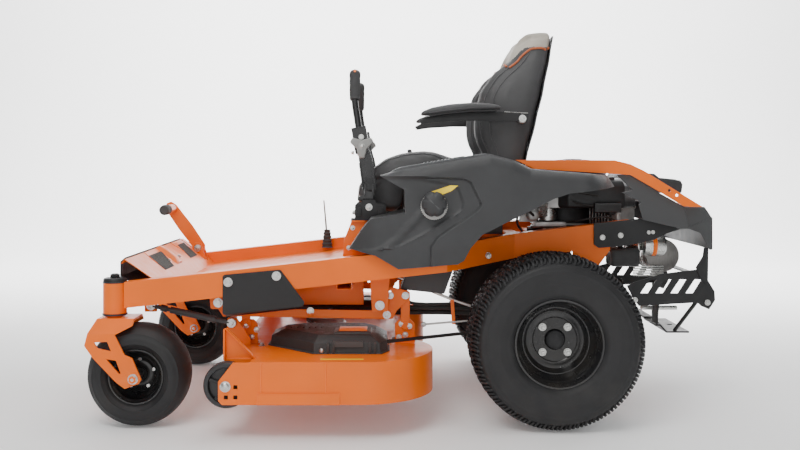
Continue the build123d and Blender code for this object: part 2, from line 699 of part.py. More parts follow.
def gauge_bracket():
    """Corner plate that carries the anti-scalp wheel, with its spare square holes."""
    face = outline([(470, 112), (576, 112), (588, 124), (588, 183), (543, 241), (470, 241)])
    plate = from_side(face, DECK_LEFT_Y - 6, DECK_LEFT_Y)
    for x, z in ((535, 166), (564, 135), (535, 135)):
        plate -= block(x - 6, x + 6, DECK_LEFT_Y - 10, DECK_LEFT_Y + 2, z - 6, z + 6)
    x, z = GAUGE_WHEEL
    axle = rod((x, DECK_LEFT_Y - 56, z), (x, DECK_LEFT_Y, z), 8)
    head = rod((x, DECK_LEFT_Y, z), (x, DECK_LEFT_Y + 3, z), 14)
    head += rod((x, DECK_LEFT_Y + 3, z), (x, DECK_LEFT_Y + 9, z), 11)
    return plate + axle + head.intersect(block(500, 640, 600, DECK_LEFT_Y + 20, 100, 300))


def gusset():
    """Folded triangular brace on the deck's front corner."""
    y = DECK_LEFT_Y - 66
    front, foot, top = DECK_FRONT_X, DECK_FRONT_X - 98, 334
    triangle = outline([(front, DECK_TOP - 2), (front, top), (front - 8, top), (foot, DECK_TOP - 2)])
    web = from_side(triangle, y - 5, y)
    end = block(front - 5, front, y - 5, y + 20, DECK_TOP - 2, top)
    flange = from_side(strip([(front - 4, top), (foot + 1, DECK_TOP - 2)], -4), y - 5, y + 14)
    return web + end + flange


def hanger(x_low, x_high, bolt_x, bolt_z, eye_z):
    """Upright deck bracket and the flat link that hangs it from a lift crank."""
    bracket = from_side(
        outline([(x_low, DECK_TOP - 2), (x_high, DECK_TOP - 2), (x_high, 308), (x_high - 14, 322),
                 (x_low + 14, 322), (x_low, 308)]),
        362, 368,
    )
    foot = block(x_low, x_high, 330, 368, DECK_TOP - 1, DECK_TOP + 5)
    low, high = bolt_x - 15, bolt_x + 15
    link = outline([(low, 288), (high, 288), (high, eye_z + 16), (low, eye_z + 16)], 12)
    link = from_side(link, 368, 374)
    bolt = rod((bolt_x, 368, bolt_z), (bolt_x, 377, bolt_z), 12)
    return bracket + foot + link + bolt


def make_deck_shell():
    """Pressed and welded deck with its brackets, gussets and hanging links."""
    plan = deck_outline()
    shell = from_above(plan, DECK_BOTTOM, DECK_TOP)
    room = offset(plan, -DECK_SHEET, kind=Kind.INTERSECTION)
    shell -= from_above(room, DECK_BOTTOM - 1, DECK_TOP - DECK_SHEET)
    shell -= block(*CHUTE_X, DECK_RIGHT_Y - 1, DECK_RIGHT_Y + DECK_SHEET + 1, DECK_BOTTOM - 1, DECK_TOP - 20)
    for x, y in SPINDLES.values():
        shell -= rod((x, y, DECK_TOP - 20), (x, y, DECK_TOP + 5), 32)
    left = gauge_bracket() + gusset()
    right = Pos(0, DECK_RIGHT_Y + DECK_LEFT_Y, 0) * mirrored(gauge_bracket() + gusset())
    arm_x = LIFT_ARM * cos(radians(LIFT_ARM_TILT))
    rear = hanger(-19, 48, LIFT_PIVOT_REAR[0] - arm_x, 300, 404)
    front = hanger(510, 577, LIFT_PIVOT_FRONT[0] - arm_x, 309, 413)
    lug = [(530, DECK_TOP - 2), (556, DECK_TOP - 2), (608, 296), (608, 332), (576, 332), (530, 262)]
    lug = outline(lug, 5)
    ears = both_sides(front + rear + from_side(lug, 396, 402))
    skid = block(217, 469, DECK_LEFT_Y, DECK_LEFT_Y + 3, DECK_BOTTOM, 146)
    return shell + left + right + ears + skid


def belt_run(extra, z_low, z_high):
    """Space of the deck belt round the engine's and the three spindles' pulleys."""
    centres = outline([(CRANK_X, 0)] + [SPINDLES[name] for name in ("left", "centre", "right")])
    return from_above(offset(centres, PULLEY_R + extra, kind=Kind.ARC), z_low, z_high)


def make_deck_belt():
    """Belt round the clutch pulley and the three spindle pulleys."""
    return belt_run(8, BELT_Z - 6, BELT_Z + 6) - belt_run(0.2, BELT_Z - 7, BELT_Z + 7)


def make_belt_covers():
    """Plastic covers over the outer spindle drives, one to a side."""
    plan = outline([
        (66, 330), (66, 510), (90, 565), (310, 565), (470, 410), (470, 300), (400, 262), (120, 262),
    ])
    shell = from_above(plan, DECK_TOP + GAP, 300)
    room = from_above(offset(plan, -4, kind=Kind.INTERSECTION), DECK_TOP, 296)
    riser = block(130, 240, 400, 505, 296, 305)
    cover = (shell - room + riser) - block(140, 230, 410, 495, 290, 301)
    cover -= belt_run(16, DECK_TOP - 1, BELT_Z + 17)
    right = mirrored(Pos(0, -36, 0) * cover)
    return cover + right


def make_spindle_housings():
    """Cast bearing housings bolted through the deck's top."""
    bore = 15 + FIT
    housing = outline([
        (bore, 172), (34, 172), (31.9, 190), (31.9, DECK_TOP), (60, DECK_TOP), (60, 248), (36, 248),
        (30, 253), (bore, 253),
    ])
    parts = []
    for x, y in SPINDLES.values():
        body = turned_upright(housing, (x, y, 0))
        for bx, by in ring_of(4, 49, (x, y), 45):
            body += hex_bar((bx, by, 248), (bx, by, 253.5), 13)
        parts.append(body)
    return group(*parts)


def make_spindle(name):
    """Spindle shaft with its pulley on top, and the blade bolted underneath."""
    x, y = SPINDLES[name]
    shaft = rod((x, y, 150), (x, y, 292), 15)
    shaft += rod((x, y, 150), (x, y, 171.5), 27)
    pulley = grooved_pulley((x, y), PULLEY_R) - rod((x, y, 200), (x, y, 299), 15)
    nut = hex_bar((x, y, BELT_Z + 14), (x, y, 289), 30) - rod((x, y, 270), (x, y, 298), 15)
    blade_plan = outline([(-BLADE_R, -32), (BLADE_R, -32), (BLADE_R, 32), (-BLADE_R, 32)], 3)
    turn = {"left": 78, "centre": 96, "right": 84}[name]
    blade = from_above(blade_plan, 143, 149.9)
    for end in (0, 180):
        sail = from_front(strip([(18, 149.8), (34, 162)], 5), 130, BLADE_R - 2)
        blade += Rot(0, 0, end) * sail
    blade -= rod((0, 0, 140), (0, 0, 155), 9)
    blade = Pos(x, y, 0) * (Rot(0, 0, turn) * blade)
    bolt = hex_bar((x, y, 133), (x, y, 143), 27) + rod((x, y, 143), (x, y, 150), 9)
    return group(shaft, pulley, nut, blade, bolt)


def make_discharge_chute():
    """Moulded grass deflector hinged along the deck's right edge."""
    hinge_y, hinge_z = DECK_RIGHT_Y - 12, DECK_TOP + 2
    x0, x1 = CHUTE_X[0] + 4, CHUTE_X[1] - 4
    sheet = [(hinge_y - 9, hinge_z), (hinge_y - 100, hinge_z - 8), (hinge_y - CHUTE_REACH + 12, 172)]
    top = from_front(strip(sheet, 4), x0, x1)
    cheek = outline([
        (hinge_y - 16, hinge_z), (hinge_y - 100, hinge_z - 8), (hinge_y - CHUTE_REACH + 14, 172),
        (hinge_y - CHUTE_REACH + 30, 150), (hinge_y - 16, 150),
    ])
    knuckle = rod((x0, hinge_y, hinge_z), (x1, hinge_y, hinge_z), 10)
    chute = top + from_front(cheek, x0, x0 + 4) + from_front(cheek, x1 - 4, x1) + knuckle
    return chute - rod((x0 - 1, hinge_y, hinge_z), (x1 + 1, hinge_y, hinge_z), 4 + FIT)


def chute_hinge():
    """Hinge rod and its two ears on the deck."""
    hinge_y, hinge_z = DECK_RIGHT_Y - 12, DECK_TOP + 2
    pin = rod((CHUTE_X[0] - 8, hinge_y, hinge_z), (CHUTE_X[1] + 8, hinge_y, hinge_z), 4)
    ear = outline([
        (DECK_RIGHT_Y + 4, DECK_TOP - 12), (DECK_RIGHT_Y + 4, DECK_TOP), (hinge_y + 8, hinge_z + 10),
        (hinge_y - 8, hinge_z + 10), (hinge_y - 10, hinge_z - 8), (DECK_RIGHT_Y, DECK_TOP - 24),
    ])
    low = from_front(ear, CHUTE_X[0] - 8, CHUTE_X[0])
    high = from_front(ear, CHUTE_X[1], CHUTE_X[1] + 8)
    return pin + low + high


def make_gauge_wheel(side):
    """Hollow-webbed anti-scalp wheel on the deck's front corner."""
    x, z = GAUGE_WHEEL
    y = DECK_LEFT_Y - 31 if side > 0 else DECK_RIGHT_Y + 31
    rim = outline([
        (8 + FIT, -20), (20, -20), (20, -4), (54, -4), (54, -20), (66, -20), (GAUGE_WHEEL_R, -14),
        (GAUGE_WHEEL_R, 14), (66, 20), (54, 20), (54, 4), (20, 4), (20, 20), (8 + FIT, 20),
    ])
    wheel = revolve(rim, Axis.Y)
    for px, pz in ring_of(5, 37):
        wheel -= rod((px, -10, pz), (px, 10, pz), 11)
    return Pos(x, y, z) * wheel


# ---------------------------------------------------------------- deck lift
def crank_pin(pivot):
    """Where a lift crank's rearward arm carries its hanging link."""
    tilt = radians(LIFT_ARM_TILT)
    return pivot[0] - LIFT_ARM * cos(tilt), pivot[1] + LIFT_ARM * sin(tilt)


BAR_PIN = (-23.6, -36)    # link bar's pin from the crank's pivot


def make_cranks(pivot):
    """Cross shaft with a crank plate on each side."""
    px, pz = pivot
    ex, ez = crank_pin(pivot)
    bx, bz = px + BAR_PIN[0], pz + BAR_PIN[1]
    plate_outline = outline([
        (ex - 16, ez + 10), (ex + 4, ez + 18), (px - 40, pz + 56), (px + 8, pz + 52), (px + 20, pz - 6),
        (bx + 14, bz - 16), (bx - 20, bz - 14), (bx - 34, bz + 14), (ex - 14, ez - 14),
    ])
    plate = from_side(plate_outline, 376, 382)
    for i in range(4):
        plate -= rod((px - 34 + 12 * i, 370, pz + 40), (px - 34 + 12 * i, 390, pz + 40), 4)
    pin = rod((bx, 382, bz), (bx, 396, bz), 8)
    boss = tube((px, 382, pz), (px, 407, pz), 16.5, 11)
    eye = rod((ex, 382, ez), (ex, 384 - GAP, ez), 11)
    shaft = rod((px, -420, pz), (px, 420, pz), 12)
    return both_sides(plate + pin + boss + eye) + shaft


def make_lift_bars():
    """Flat link bars that tie the front and rear cranks together."""
    rear = (LIFT_PIVOT_REAR[0] + BAR_PIN[0], LIFT_PIVOT_REAR[1] + BAR_PIN[1])
    front = (LIFT_PIVOT_FRONT[0] + BAR_PIN[0], LIFT_PIVOT_FRONT[1] + BAR_PIN[1])
    length = hypot(front[0] - rear[0], front[1] - rear[1])
    slope = ((front[0] - rear[0]) / length, (front[1] - rear[1]) / length)
    half, over = 14, 16
    corners = [(-over, -half), (length + over, -half), (length + over, half), (-over, half)]
    face = [
        (rear[0] + a * slope[0] - b * slope[1], rear[1] + a * slope[1] + b * slope[0]) for a, b in corners
    ]
    bar = from_side(outline(face, 8), 384, 390)
    for x, z in (rear, front):
        bar -= rod((x, 380, z), (x, 400, z), 8 + FIT)
    bolt = flange_bolt(331, 390, rear[1] + (331 - rear[0]) * slope[1] / slope[0], 15, 5)
    return both_sides(bar + bolt)


STRUT_END = (592, 316)


def make_front_struts():
    """Threaded radius rods from the frame's front brackets to the deck."""
    start = (860, 374)
    end = STRUT_END
    strut = rod((start[0], 409, start[1]), (end[0], 409, end[1]), 7)
    for x, z in (start, end):
        strut += rod((x, 403, z), (x, 415, z), 15)
    for low, high in ((0.12, 0.2), (0.24, 0.8)):
        ends = []
        for t in (low, high):
            ends.append((start[0] + t * (end[0] - start[0]), 409, start[1] + t * (end[1] - start[1])))
        strut += rod(*ends, 11)
    strut += rod((start[0], 396, start[1]), (start[0], 403, start[1]), 6)
    return both_sides(strut)


PEDAL_PIVOT = (859, 499)
PEDAL_Y = -400


def make_lift_pedal():
    """Foot pedal that raises the deck: cranked arm with a round peg."""
    px, pz = PEDAL_PIVOT
    arm = outline([
        (px - 26, pz + 11), (px - 24, pz - 12), (px - 4, pz - 24), (px + 20, pz - 16), (px + 27, pz + 4),
        (px + 81, pz + 73), (px + 123, pz + 135), (px + 138, pz + 163), (px + 134, pz + 184),
        (px + 116, pz + 191), (px + 95, pz + 178), (px + 26, pz + 90),
    ])
    plate = from_side(arm, PEDAL_Y - 5, PEDAL_Y + 5)
    peg = rod((px + 110, PEDAL_Y + 5, pz + 162), (px + 110, PEDAL_Y + 150, pz + 162), 19)
    hub = rod((px, PEDAL_Y - 22, pz), (px, PEDAL_Y + 22, pz), 14)
    return (plate + hub + peg) - rod((px, PEDAL_Y - 60, pz), (px, PEDAL_Y + 60, pz), 8 + FIT)


def pedal_bracket():
    """Two ears on the toe board, with the bolt that the pedal swings on."""
    px, pz = PEDAL_PIVOT
    ear = outline([
        (px - 40, pz - 70), (px + 20, pz - 70), (px + 22, pz + 4), (px + 12, pz + 22), (px - 14, pz + 20),
    ])
    low = from_side(ear, PEDAL_Y - 29, PEDAL_Y - 23)
    high = from_side(ear, PEDAL_Y + 23, PEDAL_Y + 29)
    bolt = rod((px, PEDAL_Y - 29, pz), (px, PEDAL_Y + 29, pz), 8)
    head = hex_bar((px, PEDAL_Y + 29, pz), (px, PEDAL_Y + 37, pz), 20)
    return low + high + bolt + head


# ---------------------------------------------------------------- controls and seat
def make_lever_mounts():
    """Dark pivot boxes beside the seat and their brackets on the frame."""
    y = LEVER_Y
    box = block(78, 184, y - 45, y + 45, 654, 724) - block(82, 180, y - 41, y + 41, 660, 730)
    px, pz = LEVER_PIVOT
    slot = block(px - 30, px + 34, y - 30, y + 30, pz - 22, 725)
    box -= slot
    pin = rod((px, y - 45, pz), (px, y + 45, pz), 8)
    leg = block(168, 198, y - 30, y + 30, 624, 654) - block(172, 194, y - 26, y + 26, 620, 650)
    shelf = block(-20, 198, SEAT_HALF + 2, y - 24, 650, 654) + block(-20, -2, 240, SEAT_HALF + 3, 650, 654)
    return both_sides(box + pin + leg + shelf)


def make_lever_base(side):
    """Yoke that rocks fore and aft on the pivot box's pin."""
    px, pz = LEVER_PIVOT
    y = LEVER_Y
    sleeve = rod((px, y - 28, pz), (px, y + 28, pz), 15) - rod((px, y - 30, pz), (px, y + 30, pz), 8 + FIT)
    neck = block(px - 12, px + 12, y - 10, y + 10, pz + 12, pz + 52)
    neck -= rod((px, y - 30, pz), (px, y + 30, pz), 14)
    cheek = block(px - 16, px - 10, y - 12, y + 12, pz + 40, pz + 75)
    cheek += block(px + 10, px + 16, y - 12, y + 12, pz + 40, pz + 75)
    hinge_pin = rod((px - 18, y, pz + 64), (px + 18, y, pz + 64), 5)
    base = sleeve + neck + cheek + hinge_pin
    return base if side > 0 else mirrored(base)


def make_lever(side):
    """Steering lever: flat lower bar, star knob, bent upper tube and grip."""
    px, pz = LEVER_PIVOT
    y = LEVER_Y
    eye = rod((px - 9.5, y, pz + 64), (px + 9.5, y, pz + 64), 11)
    lower = outline([
        (px - 9.5, pz + 60), (px + 9.5, pz + 60), (px + 9.5, pz + 80), (px + 44, 905), (px + 40, 950),
        (px + 12, 950), (px + 6, 905), (px - 9.5, pz + 90),
    ])
    bar = from_side(lower, y - 5, y + 5)
    elbow = rod((px + 22, y, 890), (px + 50, y, 1072), 12)
    grip = rod((px + 50, y, 1072), (px + 50, y - 34, 1176), 17)
    knob = rod((px + 24, y + 5, 906), (px + 24, y + 28, 906), 26)
    for kx, kz in ring_of(3, 27, (px + 24, 906), 90):
        knob += rod((kx, y + 8, kz), (kx, y + 28, kz), 13)
    lever = (bar + eye + elbow + grip + knob + Sphere(12.4).moved(Location((px + 50, y, 1072))))
    lever -= rod((px - 30, y, pz + 64), (px + 30, y, pz + 64), 5 + FIT)
    return lever if side > 0 else mirrored(lever)


def make_seat_plate():
    """Tilting pan under the seat, hinged at its front edge, with the slide rails."""
    pan = block(-325, SEAT_BASE_FRONT, -235, 235, 756 + GAP, 761)
    x, z = SEAT_HINGE
    tongue = block(SEAT_BASE_FRONT - 20, x, 202, 222, 756 + GAP, 761)
    tongue += block(x - HINGE_R, x + HINGE_R, 202, 222, z, 761) + rod((x, 202, z), (x, 222, z), HINGE_R)
    pan += both_sides(tongue)
    rails = both_sides(block(-290, SEAT_BASE_FRONT, 150, 175, 761, 775))
    return pan + rails


CUSHION_SIDE = [
    (182, 745), (182, 716), (166, 690), (44, 676), (24, 696), (24, 776), (-225, 776), (-250, 800),
    (-232, 872), (-170, 862),
    (-65, 888), (60, 872), (150, 825), (178, 785),
]


def make_seat_cushion():
    return from_side(outline(CUSHION_SIDE, 6), -SEAT_HALF, SEAT_HALF)


def make_seat_back():
    """Tall back with its lumbar curve, standing on the rear of the cushion."""
    side = outline([
        (-435, 1322), (-460, 1325), (-508, 1323), (-519, 1306), (-505, 1237), (-474, 1110), (-446, 996),
        (-412, 867), (-400, 790), (-258, 800), (-262, 880), (-242, 921), (-233, 957), (-233, 1008),
        (-254, 1098), (-295, 1158), (-372, 1220), (-376, 1231), (-419, 1308),
    ])
    return from_side(side, 8 - SEAT_HALF, SEAT_HALF - 8)


ARMREST_PIVOT = (-395, 1003)


def make_armrest(side):
    """Padded armrest on a flat bracket that folds up beside the back."""
    px, pz = ARMREST_PIVOT
    bar = from_side(
        outline([
            (px - 22, pz + 19), (px - 18, pz - 10), (px + 205, pz - 7), (px + 305, pz - 13),
            (px + 353, pz - 21), (px + 360, pz - 5), (px + 275, pz + 17), (px + 195, pz + 26),
            (px + 65, pz + 23),
        ]),
        268, 276,
    )
    pad = from_side(
        outline([
            (-38, 1010), (-42, 1026), (-80, 1043), (-140, 1054), (-212, 1060), (-280, 1057),
            (-322, 1044), (-318, 1029), (-210, 1032), (-110, 1020),
        ], 3),
        262, 330,
    )
    rest = bar - rod((px, 250, pz), (px, 300, pz), 8 + FIT)
    joined = group(rest - pad, pad)
    return joined if side > 0 else mirrored(joined)


def armrest_pivots():
    """Pins on the back's frame that the armrests fold about."""
    px, pz = ARMREST_PIVOT
    pin = rod((px, SEAT_HALF - 8, pz), (px, 278, pz), 8)
    collar = rod((px, SEAT_HALF - 8, pz), (px, 267.6, pz), 16)
    return both_sides(pin + collar)


def make_throttle_lever():
    """Engine speed lever, through its slot in the right console."""
    x = THROTTLE_X
    stem = rod((x, CONSOLE_Y, 824), (x + 16, CONSOLE_Y, 890), 4)
    return stem + rod((x + 13, CONSOLE_Y, 880), (x + 20, CONSOLE_Y, 906), 10)


BRAKE_PIVOT = (324, -425, 500)


def make_brake_lever():
    """Parking brake lever: a thin leaning rod in a rubber boot above the floor."""
    x, y, z = BRAKE_PIVOT
    stem = rod((x, y, z), (x + 17, y, z + 195), 5)
    boot = Pos(x + 3, y, z + 34) * Cone(22, 14, 74)
    return group(stem - boot, boot)


def make_pto_knob():
    """Pull knob of the blade clutch switch on the right console."""
    stem = rod((PTO_X, CONSOLE_Y, 840), (PTO_X, CONSOLE_Y, 884), 8)
    return stem + rod((PTO_X, CONSOLE_Y, 868), (PTO_X, CONSOLE_Y, 888), 20)


# ---------------------------------------------------------------- assembly
def make_all():
    floor = make_floor_pan()
    frame = drill_for_bolts(make_main_frame())
    cross = make_cross_members() + (pedal_bracket() - floor)
    guard = drill_for_bolts(make_rear_guard())
    nodes = {
        "main_frame": frame,
        "cross_members": cross - frame,
        "frame_hardware": make_frame_hardware(),
        "floor_pan": floor,
        "toe_cover": make_toe_cover() - floor,
        "side_steps": drill_for_bolts(make_side_steps()),
        "left_fender": make_left_fender(),
        "right_fender": make_right_fender(),
        "engine_guard": make_engine_guard(),
        "rear_bumper": make_rear_bumper(),
        "rear_guard": guard,
        "engine_block": make_engine_block(),
        "engine_cowl": make_engine_cowl(),
        "air_cleaner": make_air_cleaner(),
        "muffler": make_muffler(),
        "transaxles": make_transaxles(),
        "lever_mounts": make_lever_mounts(),
        "seat_base": group(make_seat_base(), make_battery()),
        "fuel_tank": make_fuel_tank(),
        "deck_shell": make_deck_shell() + chute_hinge(),
        "belt_covers": make_belt_covers(),
        "spindle_housings": make_spindle_housings(),
        "deck_belt": make_deck_belt(),
        "discharge_chute": make_discharge_chute(),
        "lift_pedal": make_lift_pedal(),
        "front_cranks": make_cranks(LIFT_PIVOT_FRONT),
        "rear_cranks": make_cranks(LIFT_PIVOT_REAR),
        "lift_bars": make_lift_bars(),
        "front_struts": make_front_struts(),
        "seat_plate": make_seat_plate(),
        "seat_cushion": make_seat_cushion(),
        "seat_back": make_seat_back() + armrest_pivots(),
        "fuel_cap": make_fuel_cap(),
        "throttle_lever": make_throttle_lever(),
        "brake_lever": make_brake_lever(),
        "pto_knob": make_pto_knob(),
        "engine_pulley": make_engine_pulley(),
    }
    for name in SPINDLES:
        nodes[f"{name}_spindle"] = make_spindle(name)
    for name, side in (("left", 1), ("right", -1)):
        nodes[f"{name}_rear_tyre"] = make_rear_tyre(side)
        nodes[f"{name}_rear_rim"] = make_rear_rim(side)
        nodes[f"{name}_rear_hub"] = make_rear_hub(side)
        nodes[f"{name}_caster_fork"] = make_caster_fork(side)
        nodes[f"{name}_caster_tyre"] = make_caster_tyre(side)
        nodes[f"{name}_caster_rim"] = make_caster_rim(side)
        nodes[f"{name}_gauge_wheel"] = make_gauge_wheel(side)
        nodes[f"{name}_lever_base"] = make_lever_base(side)
        nodes[f"{name}_lever"] = make_lever(side)
        nodes[f"{name}_armrest"] = make_armrest(side)
    return nodes


os.makedirs("parts", exist_ok=True)
for name, shape in make_all().items():
    export_step(Pos(0, CENTRE_SHIFT_Y, 0) * shape, f"parts/{name}.step")
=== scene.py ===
import json
from math import atan2, cos, pi, radians, sin, sqrt

import bmesh
import bpy
from mathutils import Matrix, Vector
from mathutils.bvhtree import BVHTree


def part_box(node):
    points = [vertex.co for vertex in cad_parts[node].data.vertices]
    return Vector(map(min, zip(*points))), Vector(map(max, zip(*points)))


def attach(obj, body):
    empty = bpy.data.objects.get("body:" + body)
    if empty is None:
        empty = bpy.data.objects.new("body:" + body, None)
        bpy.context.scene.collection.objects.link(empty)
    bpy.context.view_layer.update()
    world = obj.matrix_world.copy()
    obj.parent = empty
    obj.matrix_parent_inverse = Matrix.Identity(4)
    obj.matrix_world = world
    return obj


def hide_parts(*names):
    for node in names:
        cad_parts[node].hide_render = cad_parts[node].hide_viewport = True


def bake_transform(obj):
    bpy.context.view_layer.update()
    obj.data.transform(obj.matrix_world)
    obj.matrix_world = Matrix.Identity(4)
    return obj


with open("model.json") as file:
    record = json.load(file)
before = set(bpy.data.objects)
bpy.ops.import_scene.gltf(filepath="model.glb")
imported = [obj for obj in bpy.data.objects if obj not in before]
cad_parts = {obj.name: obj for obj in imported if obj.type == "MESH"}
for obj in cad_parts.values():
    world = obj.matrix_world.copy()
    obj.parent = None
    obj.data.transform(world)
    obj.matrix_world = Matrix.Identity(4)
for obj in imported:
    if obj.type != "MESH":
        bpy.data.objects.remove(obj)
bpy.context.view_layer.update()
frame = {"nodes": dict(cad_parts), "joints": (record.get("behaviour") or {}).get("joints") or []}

# A ride-on zero-turn mower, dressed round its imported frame. Metres, +X forwards, +Y left.
# Points are written about the machine's centre plane; here() adds that plane's place.
SEAT_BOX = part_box("seat_cushion")
CENTRE_Y = (SEAT_BOX[0].y + SEAT_BOX[1].y) / 2
PIVOT = {j["name"]: Vector(j["pos_m"]) for j in frame["joints"] if "pos_m" in j}
SIDES = {"left": 1, "right": -1}
NODES = frame["nodes"]


def here(x, y, z):
    return Vector((x, y + CENTRE_Y, z))


# ---------------------------------------------------------------- materials
def new_material(name):
    material = bpy.data.materials.new(name)
    material.use_nodes = True
    tree = material.node_tree
    return material, tree, tree.nodes["Principled BSDF"]


def node(tree, kind, **settings):
    made = tree.nodes.new(kind)
    for key, value in settings.items():
        if key in made.inputs:
            made.inputs[key].default_value = value
        else:
            setattr(made, key, value)
    return made


def surface_place(tree, stretch=(1, 1, 1)):
    """Coordinates that stay with the piece, stretched to give a grain a direction."""
    place = node(tree, "ShaderNodeTexCoord")
    mapping = node(tree, "ShaderNodeMapping")
    mapping.inputs["Scale"].default_value = stretch
    tree.links.new(place.outputs["Object"], mapping.inputs["Vector"])
    return mapping.outputs["Vector"]


def grain(tree, place, scale, detail=4.0):
    made = node(tree, "ShaderNodeTexNoise", Scale=scale, Detail=detail)
    tree.links.new(place, made.inputs["Vector"])
    return made.outputs["Fac"]


def cells(tree, place, scale, feature="F1"):
    made = node(tree, "ShaderNodeTexVoronoi", Scale=scale, feature=feature)
    tree.links.new(place, made.inputs["Vector"])
    return made.outputs["Distance"]


def spread(tree, value, low, high, out_low, out_high):
    made = node(tree, "ShaderNodeMapRange")
    made.inputs["From Min"].default_value = low
    made.inputs["From Max"].default_value = high
    made.inputs["To Min"].default_value = out_low
    made.inputs["To Max"].default_value = out_high
    tree.links.new(value, made.inputs["Value"])
    return made.outputs["Result"]


def tinted(tree, value, colour_a, colour_b):
    made = node(tree, "ShaderNodeMix", data_type="RGBA")
    made.inputs["A"].default_value = (*colour_a, 1)
    made.inputs["B"].default_value = (*colour_b, 1)
    tree.links.new(value, made.inputs["Factor"])
    return made.outputs["Result"]


def blend_colours(tree, value, colour_a, colour_b):
    """Mix where at least one colour is already a socket."""
    made = node(tree, "ShaderNodeMix", data_type="RGBA")
    for key, colour in (("A", colour_a), ("B", colour_b)):
        if isinstance(colour, tuple):
            made.inputs[key].default_value = (*colour, 1)
        else:
            tree.links.new(colour, made.inputs[key])
    tree.links.new(value, made.inputs["Factor"])
    return made.outputs["Result"]


def bumped(tree, shader, value, distance, strength=1.0, below=None):
    made = node(tree, "ShaderNodeBump", Strength=strength, Distance=distance)
    tree.links.new(value, made.inputs["Height"])
    if below is not None:
        tree.links.new(below, made.inputs["Normal"])
    tree.links.new(made.outputs["Normal"], shader.inputs["Normal"])
    return made.outputs["Normal"]


def worn_edges(tree, low=0.53, high=0.62):
    """High where a surface turns outwards, for rubbed corners."""
    made = node(tree, "ShaderNodeNewGeometry")
    return spread(tree, made.outputs["Pointiness"], low, high, 0.0, 1.0)


def height_dust(tree, top=0.42):
    """High near the ground, broken up by noise, for dried grass dust."""
    place = node(tree, "ShaderNodeTexCoord")
    split = node(tree, "ShaderNodeSeparateXYZ")
    tree.links.new(place.outputs["Object"], split.inputs["Vector"])
    low = spread(tree, split.outputs["Z"], 0.02, top, 1.0, 0.0)
    patches = spread(tree, grain(tree, place.outputs["Object"], 9.0, 8.0), 0.42, 0.72, 0.0, 1.0)
    made = node(tree, "ShaderNodeMath", operation="MULTIPLY")
    tree.links.new(low, made.inputs[0])
    tree.links.new(patches, made.inputs[1])
    return made.outputs["Value"]


def powder_coat(name, colour, rough=0.40, peel=0.0001, coat=0.12, dust=0.05):
    """Baked powder paint: orange-peel skin, slight tone drift, dull dust low down."""
    material, tree, shader = new_material(name)
    place = surface_place(tree)
    drift = spread(tree, grain(tree, place, 3.5), 0.35, 0.65, 0.0, 1.0)
    base = tinted(tree, drift, tuple(c * 0.94 for c in colour), tuple(min(1, c * 1.05) for c in colour))
    worn = blend_colours(tree, worn_edges(tree, 0.56, 0.68), base,
        tuple(min(1, c * 1.25 + 0.03) for c in colour))
    share = spread(tree, height_dust(tree), 0.0, 1.0, 0.0, dust)
    dusty = blend_colours(tree, share, worn, (0.36, 0.30, 0.22))
    tree.links.new(dusty, shader.inputs["Base Color"])
    rough_drift = spread(tree, grain(tree, place, 28.0, 6.0), 0.3, 0.7, rough - 0.05, rough + 0.07)
    tree.links.new(rough_drift, shader.inputs["Roughness"])
    bumped(tree, shader, cells(tree, place, 420.0, "SMOOTH_F1"), peel)
    shader.inputs["Coat Weight"].default_value = coat
    shader.inputs["Coat Roughness"].default_value = 0.12
    shader.inputs["Specular IOR Level"].default_value = 0.28
    return material


def moulded_plastic(name, colour, rough=0.55, texture=0.00022, scale=900.0):
    """Injection-moulded plastic with a leathery mould texture and rubbed edges."""
    material, tree, shader = new_material(name)
    place = surface_place(tree)
    drift = spread(tree, grain(tree, place, 5.0), 0.35, 0.65, 0.0, 1.0)
    base = tinted(tree, drift, tuple(c * 0.88 for c in colour), tuple(c * 1.12 for c in colour))
    scuffed = blend_colours(tree, worn_edges(tree), base, tuple(c * 1.5 + 0.02 for c in colour))
    tree.links.new(scuffed, shader.inputs["Base Color"])
    rough_drift = spread(tree, grain(tree, place, 45.0, 6.0), 0.3, 0.7, rough - 0.06, rough + 0.08)
    tree.links.new(rough_drift, shader.inputs["Roughness"])
    bumped(tree, shader, cells(tree, place, scale), texture)
    shader.inputs["Specular IOR Level"].default_value = 0.45
    return material


def bright_metal(name, colour, rough=0.28, stretch=(1, 1, 1), brush=0.00003):
    """Plated or machined metal: clouded finish and fine brush marks."""
    material, tree, shader = new_material(name)
    place = surface_place(tree, stretch)
    clouds = spread(tree, grain(tree, place, 60.0, 5.0), 0.3, 0.7, 0.0, 1.0)
    base = tinted(tree, clouds, tuple(c * 0.82 for c in colour), colour)
    tree.links.new(base, shader.inputs["Base Color"])
    shader.inputs["Metallic"].default_value = 1.0
    rough_drift = spread(tree, grain(tree, place, 180.0, 6.0), 0.25, 0.75, rough - 0.08, rough + 0.14)
    tree.links.new(rough_drift, shader.inputs["Roughness"])
    bumped(tree, shader, grain(tree, place, 900.0, 3.0), brush)
    return material


def cast_metal(name, colour, rough=0.5, pits=0.00035):
    """Sand-cast skin: pitted, uneven, a little oily in patches."""
    material, tree, shader = new_material(name)
    place = surface_place(tree)
    patches = spread(tree, grain(tree, place, 22.0, 8.0), 0.3, 0.7, 0.0, 1.0)
    base = tinted(tree, patches, tuple(c * 0.7 for c in colour), colour)
    tree.links.new(base, shader.inputs["Base Color"])
    shader.inputs["Metallic"].default_value = 0.85
    tree.links.new(spread(tree, patches, 0.0, 1.0, rough + 0.12, rough - 0.08), shader.inputs["Roughness"])
    bumped(tree, shader, grain(tree, place, 380.0, 8.0), pits)
    return material


